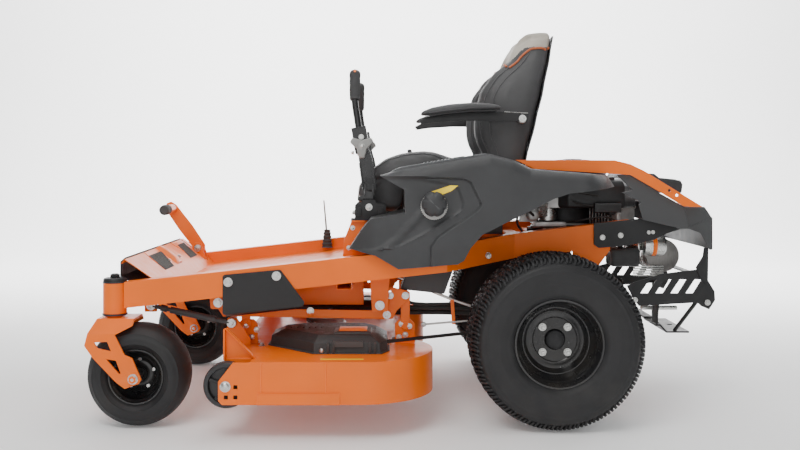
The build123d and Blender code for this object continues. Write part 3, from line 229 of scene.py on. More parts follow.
def tyre_rubber(name, colour=(0.010, 0.010, 0.011)):
    """Vulcanised rubber, matt, greyed by dust towards the ground."""
    material, tree, shader = new_material(name)
    place = surface_place(tree)
    bloom = spread(tree, grain(tree, place, 14.0, 8.0), 0.35, 0.75, 0.0, 1.0)
    base = tinted(tree, bloom, colour, tuple(c * 2.0 + 0.002 for c in colour))
    share = spread(tree, height_dust(tree, 0.5), 0.0, 1.0, 0.0, 0.12)
    dusty = blend_colours(tree, share, base, (0.12, 0.105, 0.085))
    tree.links.new(dusty, shader.inputs["Base Color"])
    tree.links.new(spread(tree, bloom, 0.0, 1.0, 0.52, 0.74), shader.inputs["Roughness"])
    fine = bumped(tree, shader, grain(tree, place, 700.0, 4.0), 0.00018)
    bumped(tree, shader, grain(tree, place, 90.0, 3.0), 0.00035, below=fine)
    shader.inputs["Specular IOR Level"].default_value = 0.42
    return material


def vinyl(name, colour, grain_scale=620.0, rough=0.5, crease=0.0006):
    """Upholstery vinyl: pebble grain in cells, soft sheen and shallow sitting creases."""
    material, tree, shader = new_material(name)
    place = surface_place(tree)
    shade = spread(tree, grain(tree, place, 11.0, 6.0), 0.3, 0.7, 0.0, 1.0)
    base = tinted(tree, shade, tuple(c * 0.82 for c in colour), tuple(c * 1.1 for c in colour))
    rubbed = blend_colours(tree, worn_edges(tree, 0.52, 0.6), base, tuple(c * 1.4 + 0.01 for c in colour))
    tree.links.new(rubbed, shader.inputs["Base Color"])
    pebble = cells(tree, place, grain_scale, "SMOOTH_F1")
    tree.links.new(spread(tree, pebble, 0.0, 0.6, rough - 0.08, rough + 0.1), shader.inputs["Roughness"])
    creases = bumped(tree, shader, grain(tree, place, 26.0, 7.0), crease, 0.5)
    bumped(tree, shader, pebble, 0.00028, below=creases)
    shader.inputs["Sheen Weight"].default_value = 0.12
    shader.inputs["Sheen Roughness"].default_value = 0.5
    return material


def woven(name, colour, thread=700.0):
    """Webbing or heavy thread with its crossed weave."""
    material, tree, shader = new_material(name)
    place = surface_place(tree)
    heights = []
    for direction in ("X", "Z"):
        wave = node(tree, "ShaderNodeTexWave", Scale=thread, bands_direction=direction)
        tree.links.new(place, wave.inputs["Vector"])
        heights.append(wave.outputs["Fac"])
    both = node(tree, "ShaderNodeMath", operation="ADD")
    tree.links.new(heights[0], both.inputs[0])
    tree.links.new(heights[1], both.inputs[1])
    tree.links.new(
        tinted(tree, spread(tree, both.outputs["Value"], 0.3, 1.7, 0.0, 1.0),
        tuple(c * 0.7 for c in colour), colour),
        shader.inputs["Base Color"],
    )
    bumped(tree, shader, both.outputs["Value"], 0.0002)
    shader.inputs["Roughness"].default_value = 0.8
    return material


def grip_strip(name):
    """Mineral-grit anti-slip strip."""
    material, tree, shader = new_material(name)
    place = surface_place(tree)
    grit = cells(tree, place, 1400.0)
    tree.links.new(tinted(tree, grit, (0.012, 0.012, 0.012), (0.09, 0.085, 0.08)),
        shader.inputs["Base Color"])
    bumped(tree, shader, grit, 0.0007)
    shader.inputs["Roughness"].default_value = 0.88
    return material


ORANGE = (0.90, 0.155, 0.0)
PAINT = powder_coat("orange_powder_coat", ORANGE)
CHARCOAL = powder_coat("charcoal_powder_coat", (0.019, 0.019, 0.020), 0.45, 0.0002, 0.1, 0.12)
GREY_PAINT = powder_coat("grey_powder_coat", (0.060, 0.061, 0.063), 0.5, 0.0002, 0.08, 0.12)
BLACK_GLOSS = powder_coat("black_enamel", (0.011, 0.011, 0.012), 0.28, 0.00005, 0.5, 0.12)
FENDER_PLASTIC = moulded_plastic("fender_plastic", (0.034, 0.035, 0.037), 0.45)
BLACK_PLASTIC = moulded_plastic("black_plastic", (0.012, 0.012, 0.013), 0.42, 0.00015)
COVER_PLASTIC = moulded_plastic("cover_plastic", (0.024, 0.023, 0.023), 0.45, 0.0002)
KNOB_PLASTIC = moulded_plastic("light_grey_plastic", (0.30, 0.30, 0.29), 0.45, 0.0001)
ZINC = bright_metal("zinc_plate", (0.66, 0.66, 0.64), 0.27)
STEEL = bright_metal("bare_steel", (0.55, 0.54, 0.52), 0.34, (1, 1, 8))
ALLOY = cast_metal("cast_alloy", (0.55, 0.55, 0.54))
BLACK_CAST = cast_metal("black_casting", (0.05, 0.05, 0.052), 0.55)
TYRE = tyre_rubber("tyre_rubber")
BELT = tyre_rubber("belt_rubber", (0.02, 0.018, 0.017))
GRIP = moulded_plastic("grip_foam", (0.05, 0.05, 0.051), 0.78, 0.0005, 700.0)
VINYL = vinyl("seat_vinyl", (0.052, 0.052, 0.054))
VINYL_LIGHT = vinyl("head_vinyl", (0.46, 0.42, 0.36), 560.0, 0.55)
PIPING = vinyl("orange_piping", (0.38, 0.085, 0.02), 900.0, 0.5, 0.0002)
THREAD = woven("seam_thread", (0.10, 0.10, 0.10))
GRIT = grip_strip("grip_strip")
YELLOW = moulded_plastic("yellow_vinyl", (0.74, 0.52, 0.0), 0.4, 0.00003)
HOT_STEEL = bright_metal("heated_steel", (0.27, 0.26, 0.25), 0.45, (6, 1, 1))
TANK = moulded_plastic("tank_plastic", (0.10, 0.105, 0.11), 0.5, 0.0003, 300.0)


# ---------------------------------------------------------------- mesh helpers
# Each shape is a bmesh in the row frame. make() joins shapes into one named piece.
AXES = {
    "side": (lambda a, b, depth: here(a, depth, b)),
    "above": (lambda a, b, depth: here(a, b, depth)),
    "front": (lambda a, b, depth: here(depth, a, b)),
}
SMOOTH_ANGLE = radians(38)


def round_edges(bm, width, segments=2, limit=radians(28)):
    sharp = [e for e in bm.edges if len(e.link_faces) == 2 and e.calc_face_angle(0) > limit]
    if width and sharp:
        bmesh.ops.bevel(
            bm, geom=sharp, offset=width, segments=segments, profile=0.7, affect="EDGES", clamp_overlap=True
        )
    return bm


def prism(outline, low, high, plane="side", edge=0.0012, segments=2):
    """Solid with a drawn outline, between two depths, with rounded edges."""
    bm = bmesh.new()
    place = AXES[plane]
    near = [bm.verts.new(place(a, b, low)) for a, b in outline]
    far = [bm.verts.new(place(a, b, high)) for a, b in outline]
    bm.faces.new(near)
    bm.faces.new(far[::-1])
    for i in range(len(outline)):
        j = (i + 1) % len(outline)
        bm.faces.new((near[j], near[i], far[i], far[j]))
    bmesh.ops.recalc_face_normals(bm, faces=bm.faces)
    return round_edges(bm, edge, segments)


def box(low, high, edge=0.0015, segments=2):
    outline = [(low[0], low[1]), (high[0], low[1]), (high[0], high[1]), (low[0], high[1])]
    return prism(outline, low[2], high[2], "above", edge, segments)


def frame_along(direction):
    """Two directions square to a line, and the line itself."""
    way = Vector(direction).normalized()
    side = way.orthogonal().normalized()
    return side, way.cross(side), way


def lathe(profile, centre, axis=(0, 1, 0), steps=64, closed=False):
    """Turned body. The profile is (radius, distance along the axis)."""
    bm = bmesh.new()
    u, v, w = frame_along(axis)
    rings = []
    for radius, along in profile:
        if radius < 1e-6:
            rings.append([bm.verts.new(Vector(centre) + w * along)])
            continue
        rings.append([
            bm.verts.new(Vector(centre) + w * along + (u * cos(a) + v * sin(a)) * radius)
            for a in (2 * pi * i / steps for i in range(steps))
        ])
    pairs = list(zip(rings, rings[1:])) + ([(rings[-1], rings[0])] if closed else [])
    for a, b in pairs:
        for i in range(steps):
            j = (i + 1) % steps
            corners = [a[i % len(a)], a[j % len(a)], b[j % len(b)], b[i % len(b)]]
            unique = [c for k, c in enumerate(corners) if c not in corners[:k]]
            if len(unique) > 2:
                bm.faces.new(unique)
    bmesh.ops.recalc_face_normals(bm, faces=bm.faces)
    return bm


def pillar(start, end, radius, edge=0.001, sides=24, radius_end=None):
    """Round bar with eased ends, or a taper when a second radius is given."""
    start, end = Vector(start), Vector(end)
    length = (end - start).length
    far = radius if radius_end is None else radius_end
    profile = [
        (0, 0), (radius - edge, 0), (radius, edge), (far, length - edge), (far - edge, length), (0, length),
    ]
    return lathe(profile, start, end - start, sides)


def hexagon(start, end, flats, edge=0.0008):
    """Hexagonal bar, such as a nut or a bolt's head."""
    start, end = Vector(start), Vector(end)
    u, v, _ = frame_along(end - start)
    bm = bmesh.new()
    radius = flats / sqrt(3)
    rings = [
        [bm.verts.new(p + (u * cos(pi * i / 3) + v * sin(pi * i / 3)) * radius) for i in range(6)]
        for p in (start, end)
    ]
    bm.faces.new(rings[0][::-1])
    bm.faces.new(rings[1])
    for i in range(6):
        j = (i + 1) % 6
        bm.faces.new((rings[0][i], rings[0][j], rings[1][j], rings[1][i]))
    bmesh.ops.recalc_face_normals(bm, faces=bm.faces)
    return round_edges(bm, edge, 2)


def smooth_path(points, steps=8):
    """Points along an easy curve through the given ones."""
    points = [Vector(p) for p in points]
    ends = [2 * points[0] - points[1]] + points + [2 * points[-1] - points[-2]]
    path = []
    for a, b, c, d in zip(ends, ends[1:], ends[2:], ends[3:]):
        for i in range(steps):
            t = i / steps
            path.append(0.5 * (
                2 * b + (c - a) * t + (2 * a - 5 * b + 4 * c - d) * t * t + (3 * b - a - 3 * c + d) * t ** 3
            ))
    return path + [points[-1]]


def pipe(points, radius, sides=12, steps=8, ends=True):
    """Round bar or hose along a smooth path; the radius may be a function of the share of its length."""
    path = smooth_path(points, steps) if steps > 1 else [Vector(p) for p in points]
    bm = bmesh.new()
    u = None
    rings = []
    for i, p in enumerate(path):
        way = (path[min(i + 1, len(path) - 1)] - path[max(i - 1, 0)]).normalized()
        u = way.orthogonal().normalized() if u is None else (u - way * u.dot(way)).normalized()
        v = way.cross(u)
        r = radius(i / (len(path) - 1)) if callable(radius) else radius
        rings.append([
            bm.verts.new(p + (u * cos(a) + v * sin(a)) * r)
            for a in (2 * pi * k / sides for k in range(sides))
        ])
    for a, b in zip(rings, rings[1:]):
        for k in range(sides):
            m = (k + 1) % sides
            bm.faces.new((a[k], a[m], b[m], b[k]))
    if ends:
        bm.faces.new(rings[0][::-1])
        bm.faces.new(rings[-1])
    bmesh.ops.recalc_face_normals(bm, faces=bm.faces)
    return bm


def loft(rings, capped=True, closed=False):
    """Skin over rings of points with equal counts."""
    bm = bmesh.new()
    made = [[bm.verts.new(p) for p in ring] for ring in rings]
    pairs = list(zip(made, made[1:])) + ([(made[-1], made[0])] if closed else [])
    for a, b in pairs:
        for k in range(len(a)):
            m = (k + 1) % len(a)
            bm.faces.new((a[k], a[m], b[m], b[k]))
    if capped and not closed:
        bm.faces.new(made[0][::-1])
        bm.faces.new(made[-1])
    bmesh.ops.recalc_face_normals(bm, faces=bm.faces)
    return bm


def bolt(place, normal, flats=0.013, washer=None, domed=False, height=0.007):
    """Bolt head on a washer, standing on a surface."""
    place = Vector(place)
    way = Vector(normal).normalized()
    washer = washer or flats * 0.95
    thick = 0.0018
    shapes = [pillar(place, place + way * thick, washer, 0.0005, 24)]
    if domed:
        profile = [(flats * 0.62 * cos(a),
            thick + height * sin(a)) for a in (radians(15 * i) for i in range(7))]
        shapes.append(lathe(profile, place, way, 24))
    else:
        shapes.append(hexagon(place + way * thick, place + way * (thick + height), flats))
        shapes.append(lathe([(flats * 0.26, height), (flats * 0.26, height + 0.003), (0, height + 0.0035)],
            place, way, 14))
    return shapes


def mirrored(bm):
    """The same shape on the machine's other side."""
    bmesh.ops.transform(
        bm, matrix=Matrix.Translation((0, 2 * CENTRE_Y, 0)) @ Matrix.Diagonal((1, -1, 1, 1)), verts=bm.verts
    )
    bmesh.ops.reverse_faces(bm, faces=bm.faces)
    return bm


def moved(bm, offset):
    bmesh.ops.translate(bm, vec=Vector(offset), verts=bm.verts)
    return bm


def gather(shapes):
    """One bmesh from nested lists of shapes."""
    if isinstance(shapes, bmesh.types.BMesh):
        return shapes
    whole = bmesh.new()
    for shape in shapes:
        part = gather(shape)
        mesh = bpy.data.meshes.new("part")
        part.to_mesh(mesh)
        part.free()
        whole.from_mesh(mesh)
        bpy.data.meshes.remove(mesh)
    return whole


def mark_sharp(bm, angle=SMOOTH_ANGLE):
    for face in bm.faces:
        face.smooth = True
    for e in bm.edges:
        e.smooth = len(e.link_faces) != 2 or e.calc_face_angle(0) < angle


def add_piece(name, bm, sharp):
    """A new object from a bmesh, which is used up."""
    mark_sharp(bm, sharp)
    mesh = bpy.data.meshes.new(name)
    bm.to_mesh(mesh)
    bm.free()
    piece = bpy.data.objects.new(name, mesh)
    bpy.context.scene.collection.objects.link(piece)
    return piece


def make(name, shapes, material, body, stands_for=(), sharp=SMOOTH_ANGLE):
    """Joins shapes into a named piece that rides on a body."""
    piece = add_piece(name, gather(shapes), sharp)
    piece.data.materials.append(material)
    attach(piece, body)
    if stands_for:
        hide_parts(*stands_for)
    return piece


def ring(count, radius, phase=0.0):
    return [(radius * cos(phase + 2 * pi * i / count),
        radius * sin(phase + 2 * pi * i / count)) for i in range(count)]


def eased(t):
    t = max(0.0, min(1.0, t))
    return t * t * (3 - 2 * t)


# ---------------------------------------------------------------- drive wheels
TYRE_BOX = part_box("left_rear_tyre")
TYRE_R = (TYRE_BOX[1].z - TYRE_BOX[0].z) / 2
TYRE_HALF = (TYRE_BOX[1].y - TYRE_BOX[0].y) / 2
LUG_HEIGHT = 0.0085
LUG_PITCHES = 62
TREAD_END = 0.142         # how far the shoulder lugs reach from the crown's middle


def section_curve(points):
    """Point and outward direction at a distance along half a tyre's section, and its length."""
    path = smooth_path([Vector((y, r, 0)) for y, r in points], 12)
    lengths = [0.0]
    for a, b in zip(path, path[1:]):
        lengths.append(lengths[-1] + (b - a).length)
    total = lengths[-1]

    def at(distance):
        distance = max(0.0, min(total, distance))
        i = max(k for k in range(len(lengths) - 1) if lengths[k] <= distance)
        share = (distance - lengths[i]) / max(1e-9, lengths[i + 1] - lengths[i])
        p = path[i].lerp(path[i + 1], share)
        way = (path[i + 1] - path[i]).normalized()
        return Vector((p.x, p.y)), Vector((-way.y, way.x))

    return at, total


def tyre_section():
    half = TYRE_HALF
    return [
        (0, TYRE_R), (half * 0.45, TYRE_R - 0.0012), (half * 0.74, TYRE_R - 0.006),
        (half * 0.87, TYRE_R - 0.0145),
        (half * 0.945, TYRE_R - 0.029), (half * 0.985, TYRE_R - 0.050), (half, TYRE_R - 0.078),
        (half * 0.975, TYRE_R - 0.108), (half * 0.91, TYRE_R - 0.130), (half * 0.845, TYRE_R - 0.1385),
    ]


def ridge(distance, place, width, height):
    """Height of a small moulded ring on a sidewall."""
    return height * eased(1 - abs(distance - place) / width)


def lug(at, centre, angle, start, end, half_width, wave, sign, lean=0.0):
    """One tread block: follows the section from start to end, waving as it goes."""
    stations = 7
    rings = []
    for i in range(stations):
        t = i / (stations - 1)
        p, out = at(start + (end - start) * t)
        taper = min(1.0, 5 * t + 0.35, 3.2 * (1 - t) + 0.3)
        turn = angle + wave * sin(pi * 2 * t) / p.y + lean * t / p.y
        ring_points = []
        for across, rise in ((-1, -0.004), (-0.72, 1), (0.72, 1), (1, -0.004)):
            height = (LUG_HEIGHT * taper if rise > 0 else -0.003) - LUG_HEIGHT
            y, r = p.x + out.x * height, p.y + out.y * height
            a = turn + across * half_width / p.y
            ring_points.append(centre + Vector((r * sin(a), sign * y, r * cos(a))))
        rings.append(ring_points)
    return loft(rings)


def drive_tyre(side):
    """Turf tyre: ribbed sidewalls, and a tread of waved blocks over crown and shoulders."""
    low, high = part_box(f"{side}_rear_tyre")
    centre = (low + high) / 2
    at, total = section_curve(tyre_section())
    count = 46
    outer = []
    for i in range(count + 1):
        s = total * i / count
        p, out = at(s)
        sunk = LUG_HEIGHT * (1 - eased((s - TREAD_END + 0.012) / 0.018))
        rise = ridge(s, TREAD_END + 0.022, 0.004, 0.0018) + ridge(s, TREAD_END + 0.060, 0.003, 0.0014)
        rise += ridge(s, TREAD_END + 0.068, 0.003, 0.0014) + ridge(s, total - 0.020, 0.006, 0.0026)
        outer.append((p.y + out.y * (rise - sunk), p.x + out.x * (rise - sunk)))
    bead_y = outer[-1][1]
    inside = [(0.1405, bead_y - 0.003), (0.1275, bead_y - 0.012), (0.1275, bead_y - 0.022),
        (0.139, bead_y - 0.023)]
    inner = [(0.205, TYRE_HALF - 0.012), (0.250, TYRE_HALF - 0.03), (0.262, 0.06), (0.262, 0.0)]
    half = outer + inside + inner
    profile = half + [(r, -y) for r, y in half[-2::-1]]
    shapes = [lathe(profile[:-1], centre, (0, 1, 0), 144, closed=True)]
    for i in range(LUG_PITCHES):
        a = 2 * pi * i / LUG_PITCHES
        step = pi / LUG_PITCHES
        for edge in (1, -1):
            shift = 0 if edge > 0 else step
            shapes.append(lug(at, centre, a + shift, 0.070, TREAD_END, 0.0052, 0.0035, edge, 0.010))
            shapes.append(lug(at, centre, a + shift + step, 0.082, TREAD_END - 0.010, 0.0040, 0.0035, edge,
                0.010))
            shapes.append(lug(at, centre, a + shift + step * 0.4, 0.022, 0.064, 0.0065, 0.003, edge, 0.008))
        shapes.append(lug(at, centre, a + step * 0.7, -0.0001, 0.018, 0.0072, 0.0, 1))
        shapes.append(lug(at, centre, a + step * 0.7, -0.0001, 0.018, 0.0072, 0.0, -1))
    return make(f"{side}_tyre", shapes, TYRE, f"{side}_drive_wheel", [f"{side}_rear_tyre"],
        radians(32))


def drive_rim(side):
    """Pressed steel wheel in black enamel, with rolled lips, and a recessed disc."""
    sign = SIDES[side]
    low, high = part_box(f"{side}_rear_rim")
    centre = (low + high) / 2
    flange_y, flange_r = (high.y - low.y) / 2, (high.z - low.z) / 2
    lip = [
        (flange_r - 0.0035, flange_y - 0.0045), (flange_r, flange_y - 0.003), (flange_r, flange_y),
        (flange_r - 0.006, flange_y + 0.0004), (flange_r - 0.0095, flange_y - 0.006),
        (0.1255, flange_y - 0.013),
        (0.1235, 0.090), (0.1225, 0.082), (0.1195, 0.079), (0.1180, 0.068), (0.1085, 0.054), (0.1078, 0.0),
    ]
    back = [(0.1120, 0.0), (0.1125, 0.054), (0.1215, 0.068), (0.1235, 0.080), (0.1268, 0.084),
        (0.1272, flange_y - 0.012)]
    profile = lip + [(r, -y) for r, y in lip[-2::-1]] + [(r, -y) for r, y in back[:0:-1]] + back
    barrel = lathe(profile, centre, (0, 1, 0), 96, closed=True)
    disc = [
        (0.108, 0.052), (0.1045, 0.052), (0.100, 0.040), (0.093, 0.0300), (0.086, 0.0285), (0.080, 0.0310),
        (0.073, 0.0310), (0.070, 0.0285), (0.034, 0.0285), (0.034, 0.0235), (0.069, 0.0235),
        (0.079, 0.0258),
        (0.087, 0.0235), (0.095, 0.025), (0.103, 0.036), (0.1085, 0.047),
    ]
    plate = lathe([(r, y * sign) for r, y in disc], centre, (0, 1, 0), 96, closed=True)
    foot = centre + Vector((0.075, sign * 0.049, 0.081))
    valve = [pillar(foot, foot + Vector((0.0, sign * 0.026, 0.004)), 0.0052, 0.001, 14),
             pillar(foot + Vector((0, sign * 0.026, 0.004)), foot + Vector((0, sign * 0.034, 0.005)),
             0.0038, 0.001, 12)]
    body = f"{side}_drive_wheel"
    rim = make(f"{side}_rim", [barrel, plate], BLACK_GLOSS, body, [f"{side}_rear_rim"])
    make(f"{side}_valve", valve, BLACK_PLASTIC, body)
    return rim


def drive_hub(side):
    """Hub flange with its cap, the studs, and four tapered wheel nuts."""
    sign = SIDES[side]
    low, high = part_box(f"{side}_rear_tyre")
    centre = (low + high) / 2
    face = 0.0285
    body = f"{side}_drive_wheel"
    parts = [
        lathe([(0, 0.008), (0.073, 0.008), (0.074, 0.010), (0.074, 0.0225), (0, 0.0225)], centre,
        (0, sign, 0), 64),
        lathe([(0.038, -0.036), (0.038, 0.008), (0.0, 0.008), (0.0, -0.036)], centre, (0, sign, 0), 40),
        lathe([
            (0, face + 0.017), (0.026, face + 0.0165), (0.0305, face + 0.013), (0.0325, face + 0.004),
            (0.0335, face - 0.004),
            (0, face - 0.004),
        ], centre, (0, sign, 0), 48),
        lathe([(0.0, -0.220), (0.017, -0.220), (0.017, -0.03), (0, -0.03)], centre, (0, sign, 0), 32),
    ]
    make(f"{side}_hub", parts, BLACK_CAST, body, [f"{side}_rear_hub"])
    nuts = []
    for x, z in ring(4, 0.05715, pi / 4):
        p = centre + Vector((x, sign * face, z))
        way = Vector((0, sign, 0))
        nuts.append(lathe([(0.0085, -0.001), (0.0118, 0.0), (0.0125, 0.004), (0.0125, 0.005), (0, 0.005)],
            p, way, 24))
        nuts.append(hexagon(p + way * 0.004, p + way * 0.016, 0.0195, 0.0014))
        nuts.append(pillar(p + way * 0.016, p + way * 0.0205, 0.0065, 0.0012, 18))
    make(f"{side}_wheel_nuts", nuts, ZINC, body)


# ---------------------------------------------------------------- casters
def caster_wheel(side):
    """Smooth front tyre on a pressed rim with its grease-fitted hub."""
    low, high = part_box(f"{side}_caster_tyre")
    centre = (low + high) / 2
    outer_r, half = (high.z - low.z) / 2, (high.y - low.y) / 2
    body = f"{side}_caster_wheel"
    outer = [
        (outer_r, 0), (outer_r - 0.0005, 0.018), (outer_r - 0.003, 0.034), (outer_r - 0.0065, 0.047),
        (outer_r - 0.0125, 0.058),
        (outer_r - 0.0215, half - 0.0135), (outer_r - 0.026, half - 0.0085),
        (outer_r - 0.0285, half - 0.0088),
        (outer_r - 0.037, half - 0.003), (outer_r - 0.046, half), (outer_r - 0.055, half - 0.0012),
        (outer_r - 0.0575, half - 0.0002), (outer_r - 0.0600, half - 0.0035),
        (outer_r - 0.068, half - 0.009),
        (outer_r - 0.0735, half - 0.0145), (outer_r - 0.0755, half - 0.0195),
    ]
    inner = [(0.0785, 0.051), (0.0785, 0.039), (0.087, 0.038), (0.115, 0.062), (0.140, 0.05), (0.154, 0.02),
        (0.1545, 0)]
    halfway = outer + inner
    profile = halfway + [(r, -y) for r, y in halfway[-2:0:-1]]
    make(f"{side}_front_tyre", lathe(profile, centre, (0, 1, 0), 96, closed=True), TYRE, body,
         [f"{side}_caster_tyre"], radians(50))
    flange_y, flange_r = 0.0625, 0.0885
    lip = [
        (flange_r - 0.003, flange_y - 0.004), (flange_r, flange_y - 0.002),
        (flange_r - 0.0005, flange_y + 0.0003),
        (flange_r - 0.005, flange_y), (flange_r - 0.0085, flange_y - 0.007), (0.0755, 0.052),
        (0.0745, 0.030),
        (0.0600, 0.014), (0.0590, 0.0),
    ]
    back = [(0.0620, 0.0), (0.0630, 0.014), (0.0775, 0.030), (0.0780, 0.052)]
    profile = lip + [(r, -y) for r, y in lip[-2::-1]] + [(r, -y) for r, y in back[:0:-1]] + back
    disc = [
        (0.060, 0.011), (0.055, 0.0135), (0.050, 0.0085), (0.043, 0.0065), (0.036, 0.0095), (0.030, 0.0095),
        (0.024, 0.0065), (0.022, 0.006), (0.022, 0.002), (0.031, 0.0055), (0.043, 0.0025), (0.052, 0.0045),
        (0.060, 0.007),
    ]
    shapes = [lathe(profile, centre, (0, 1, 0), 72, closed=True)]
    shapes += [lathe([(r, s * y) for r, y in disc], centre, (0, 1, 0), 72, closed=True) for s in (1, -1)]
    shapes.append(lathe([(0.0085, -0.0655), (0.021, -0.0655), (0.0225, -0.063), (0.0225, 0.063),
        (0.021, 0.0655),
                         (0.0085, 0.0655)], centre, (0, 1, 0), 40, closed=True))
    make(f"{side}_front_rim", shapes, BLACK_GLOSS, body, [f"{side}_caster_rim"])
    studs = []
    for x, z in ring(5, 0.0475, radians(90)):
        for s in (1, -1):
            p = centre + Vector((x, s * 0.007, z))
            studs.append(hexagon(p, p + Vector((0, s * 0.006, 0)), 0.011))
    make(f"{side}_front_rim_bolts", studs, ZINC, body)


def caster_hardware(side):
    """Dome nut and washer on each end of the axle, and the stem's lock nut."""
    axle = PIVOT[f"{side}_caster_spin"]
    stem = PIVOT[f"{side}_caster_swivel"]
    half = 0.094
    shapes = []
    for s in (1, -1):
        way = Vector((0, s, 0))
        p = axle + way * half
        shapes.append(pillar(p, p + way * 0.0042, 0.0165, 0.0008, 32))
        shapes.append(hexagon(p + way * 0.004, p + way * 0.0112, 0.0238, 0.001))
        shapes.append(lathe(
            [(0.0115 * cos(radians(15 * i)), 0.0105 + 0.0028 * sin(radians(15 * i))) for i in range(7)], p,
            way, 32
        ))
    make(f"{side}_axle_nuts", shapes, ZINC, f"{side}_caster")
    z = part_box(f"{side}_caster_fork")[1].z
    nut = [
        hexagon((stem.x, stem.y, z - 0.0120), (stem.x, stem.y, z + 0.0004), 0.0300, 0.001),
        lathe([(0.013, 0.0), (0.011, 0.003), (0.009, 0.0036), (0.0, 0.0032)], (stem.x, stem.y, z),
        (0, 0, 1), 24),
    ]
    make(f"{side}_stem_nut", nut, BLACK_GLOSS, f"{side}_caster")


# ---------------------------------------------------------------- side covers
# The cover's skin is a flat outline cut into a fine grid, then pushed in and out by
# distance from its feature lines. All of it is drawn in (X, Z) on the left side.
COVER_OUTLINE = [
    (0.097, 0.807), (0.027, 0.831), (-0.257, 0.878), (-0.334, 0.858), (-0.390, 0.830), (-0.647, 0.809),
    (-0.681, 0.771), (-0.507, 0.751), (-0.456, 0.734), (-0.401, 0.705), (-0.317, 0.664), (-0.228, 0.619),
    (-0.192, 0.577), (-0.172, 0.536), (-0.152, 0.524), (0.038, 0.509), (0.111, 0.552), (0.197, 0.572),
    (0.157, 0.633), (0.128, 0.668), (0.017, 0.690), (0.019, 0.763),
]
COVER_TOP = COVER_OUTLINE[:7]
POCKET_EDGE = [
    (0.240, 0.790), (0.110, 0.806), (-0.017, 0.806), (-0.169, 0.800), (-0.195, 0.788), (-0.229, 0.717),
    (-0.215, 0.695),
    (-0.088, 0.610), (-0.068, 0.579), (-0.070, 0.500), (0.240, 0.500),
]
POCKET_FLOOR = [
    (0.240, 0.780), (0.080, 0.800), (-0.017, 0.800), (-0.115, 0.786), (-0.155, 0.770), (-0.173, 0.721),
    (-0.169, 0.695),
    (-0.044, 0.619), (0.028, 0.583), (0.059, 0.574), (0.201, 0.561), (0.240, 0.560),
]
LOWER_CREASE = [(-0.040, 0.690), (0.046, 0.600), (0.100, 0.560)]
COVER_FACE_Y = 0.556
COVER_INNER_Y = 0.272
COVER_GRID = 0.0045
COVER_SHOULDER = 0.040    # radius between the roof and the outer face
POCKET_DEPTH = 0.017
BAND_DEPTH = 0.010


def to_segment(p, a, b):
    ab = b - a
    t = max(0.0, min(1.0, (p - a).dot(ab) / ab.length_squared))
    return (p - a - ab * t).length


def to_line(p, line, closed=False):
    pairs = list(zip(line, line[1:])) + ([(line[-1], line[0])] if closed else [])
    return min(to_segment(p, Vector(a), Vector(b)) for a, b in pairs)


def inside(p, outline):
    hit = False
    for (x0, z0), (x1, z1) in zip(outline, outline[1:] + outline[:1]):
        if (z0 > p.y) != (z1 > p.y) and p.x < (x1 - x0) * (p.y - z0) / (z1 - z0) + x0:
            hit = not hit
    return hit


def signed(p, outline):
    """Distance from an outline, positive inside it."""
    away = to_line(p, outline, True)
    return away if inside(p, outline) else -away


def cover_face_y(x, z):
    """How far out the cover's skin stands at a place."""
    p = Vector((x, z))
    y = COVER_FACE_Y
    y -= 0.040 * eased((x - 0.10) / 0.12) + 0.135 * eased((-0.545 - x) / 0.18) ** 1.5
    below_top = to_line(p, COVER_TOP)
    if below_top < COVER_SHOULDER:
        short = 1 - below_top / COVER_SHOULDER
        y -= COVER_SHOULDER * (1 - sqrt(max(0.0, 1 - short * short))) * 0.9
    y -= 0.012 * eased((z - 0.74) / 0.12)
    y -= BAND_DEPTH * eased(signed(p, POCKET_EDGE) / 0.006)
    y -= (POCKET_DEPTH - BAND_DEPTH) * eased((signed(p, POCKET_FLOOR) + 0.003) / 0.012)
    if signed(p, POCKET_FLOOR) > 0:
        y += 0.012 * eased((0.66 - z + (x + 0.04) * -0.6) / 0.10)
        y += 0.008 * eased(1 - to_line(p, LOWER_CREASE) / 0.020)
    low_edge = 0.018 * eased((0.60 - z) / 0.09) * eased((-0.02 - x) / 0.1)
    return y - low_edge


def rail_top(x):
    return 0.463 + (0.925 - x) * 0.1115 if x > -0.16 else 0.584 - (x + 0.16) * 0.1167


def cover_return_y(x, z):
    """How far in the cover's edges turn: to the seat, the lever's slot, or the rail."""
    if z < rail_top(x) + 0.004:
        return 0.512
    return 0.352 if x > 0.069 else COVER_INNER_Y


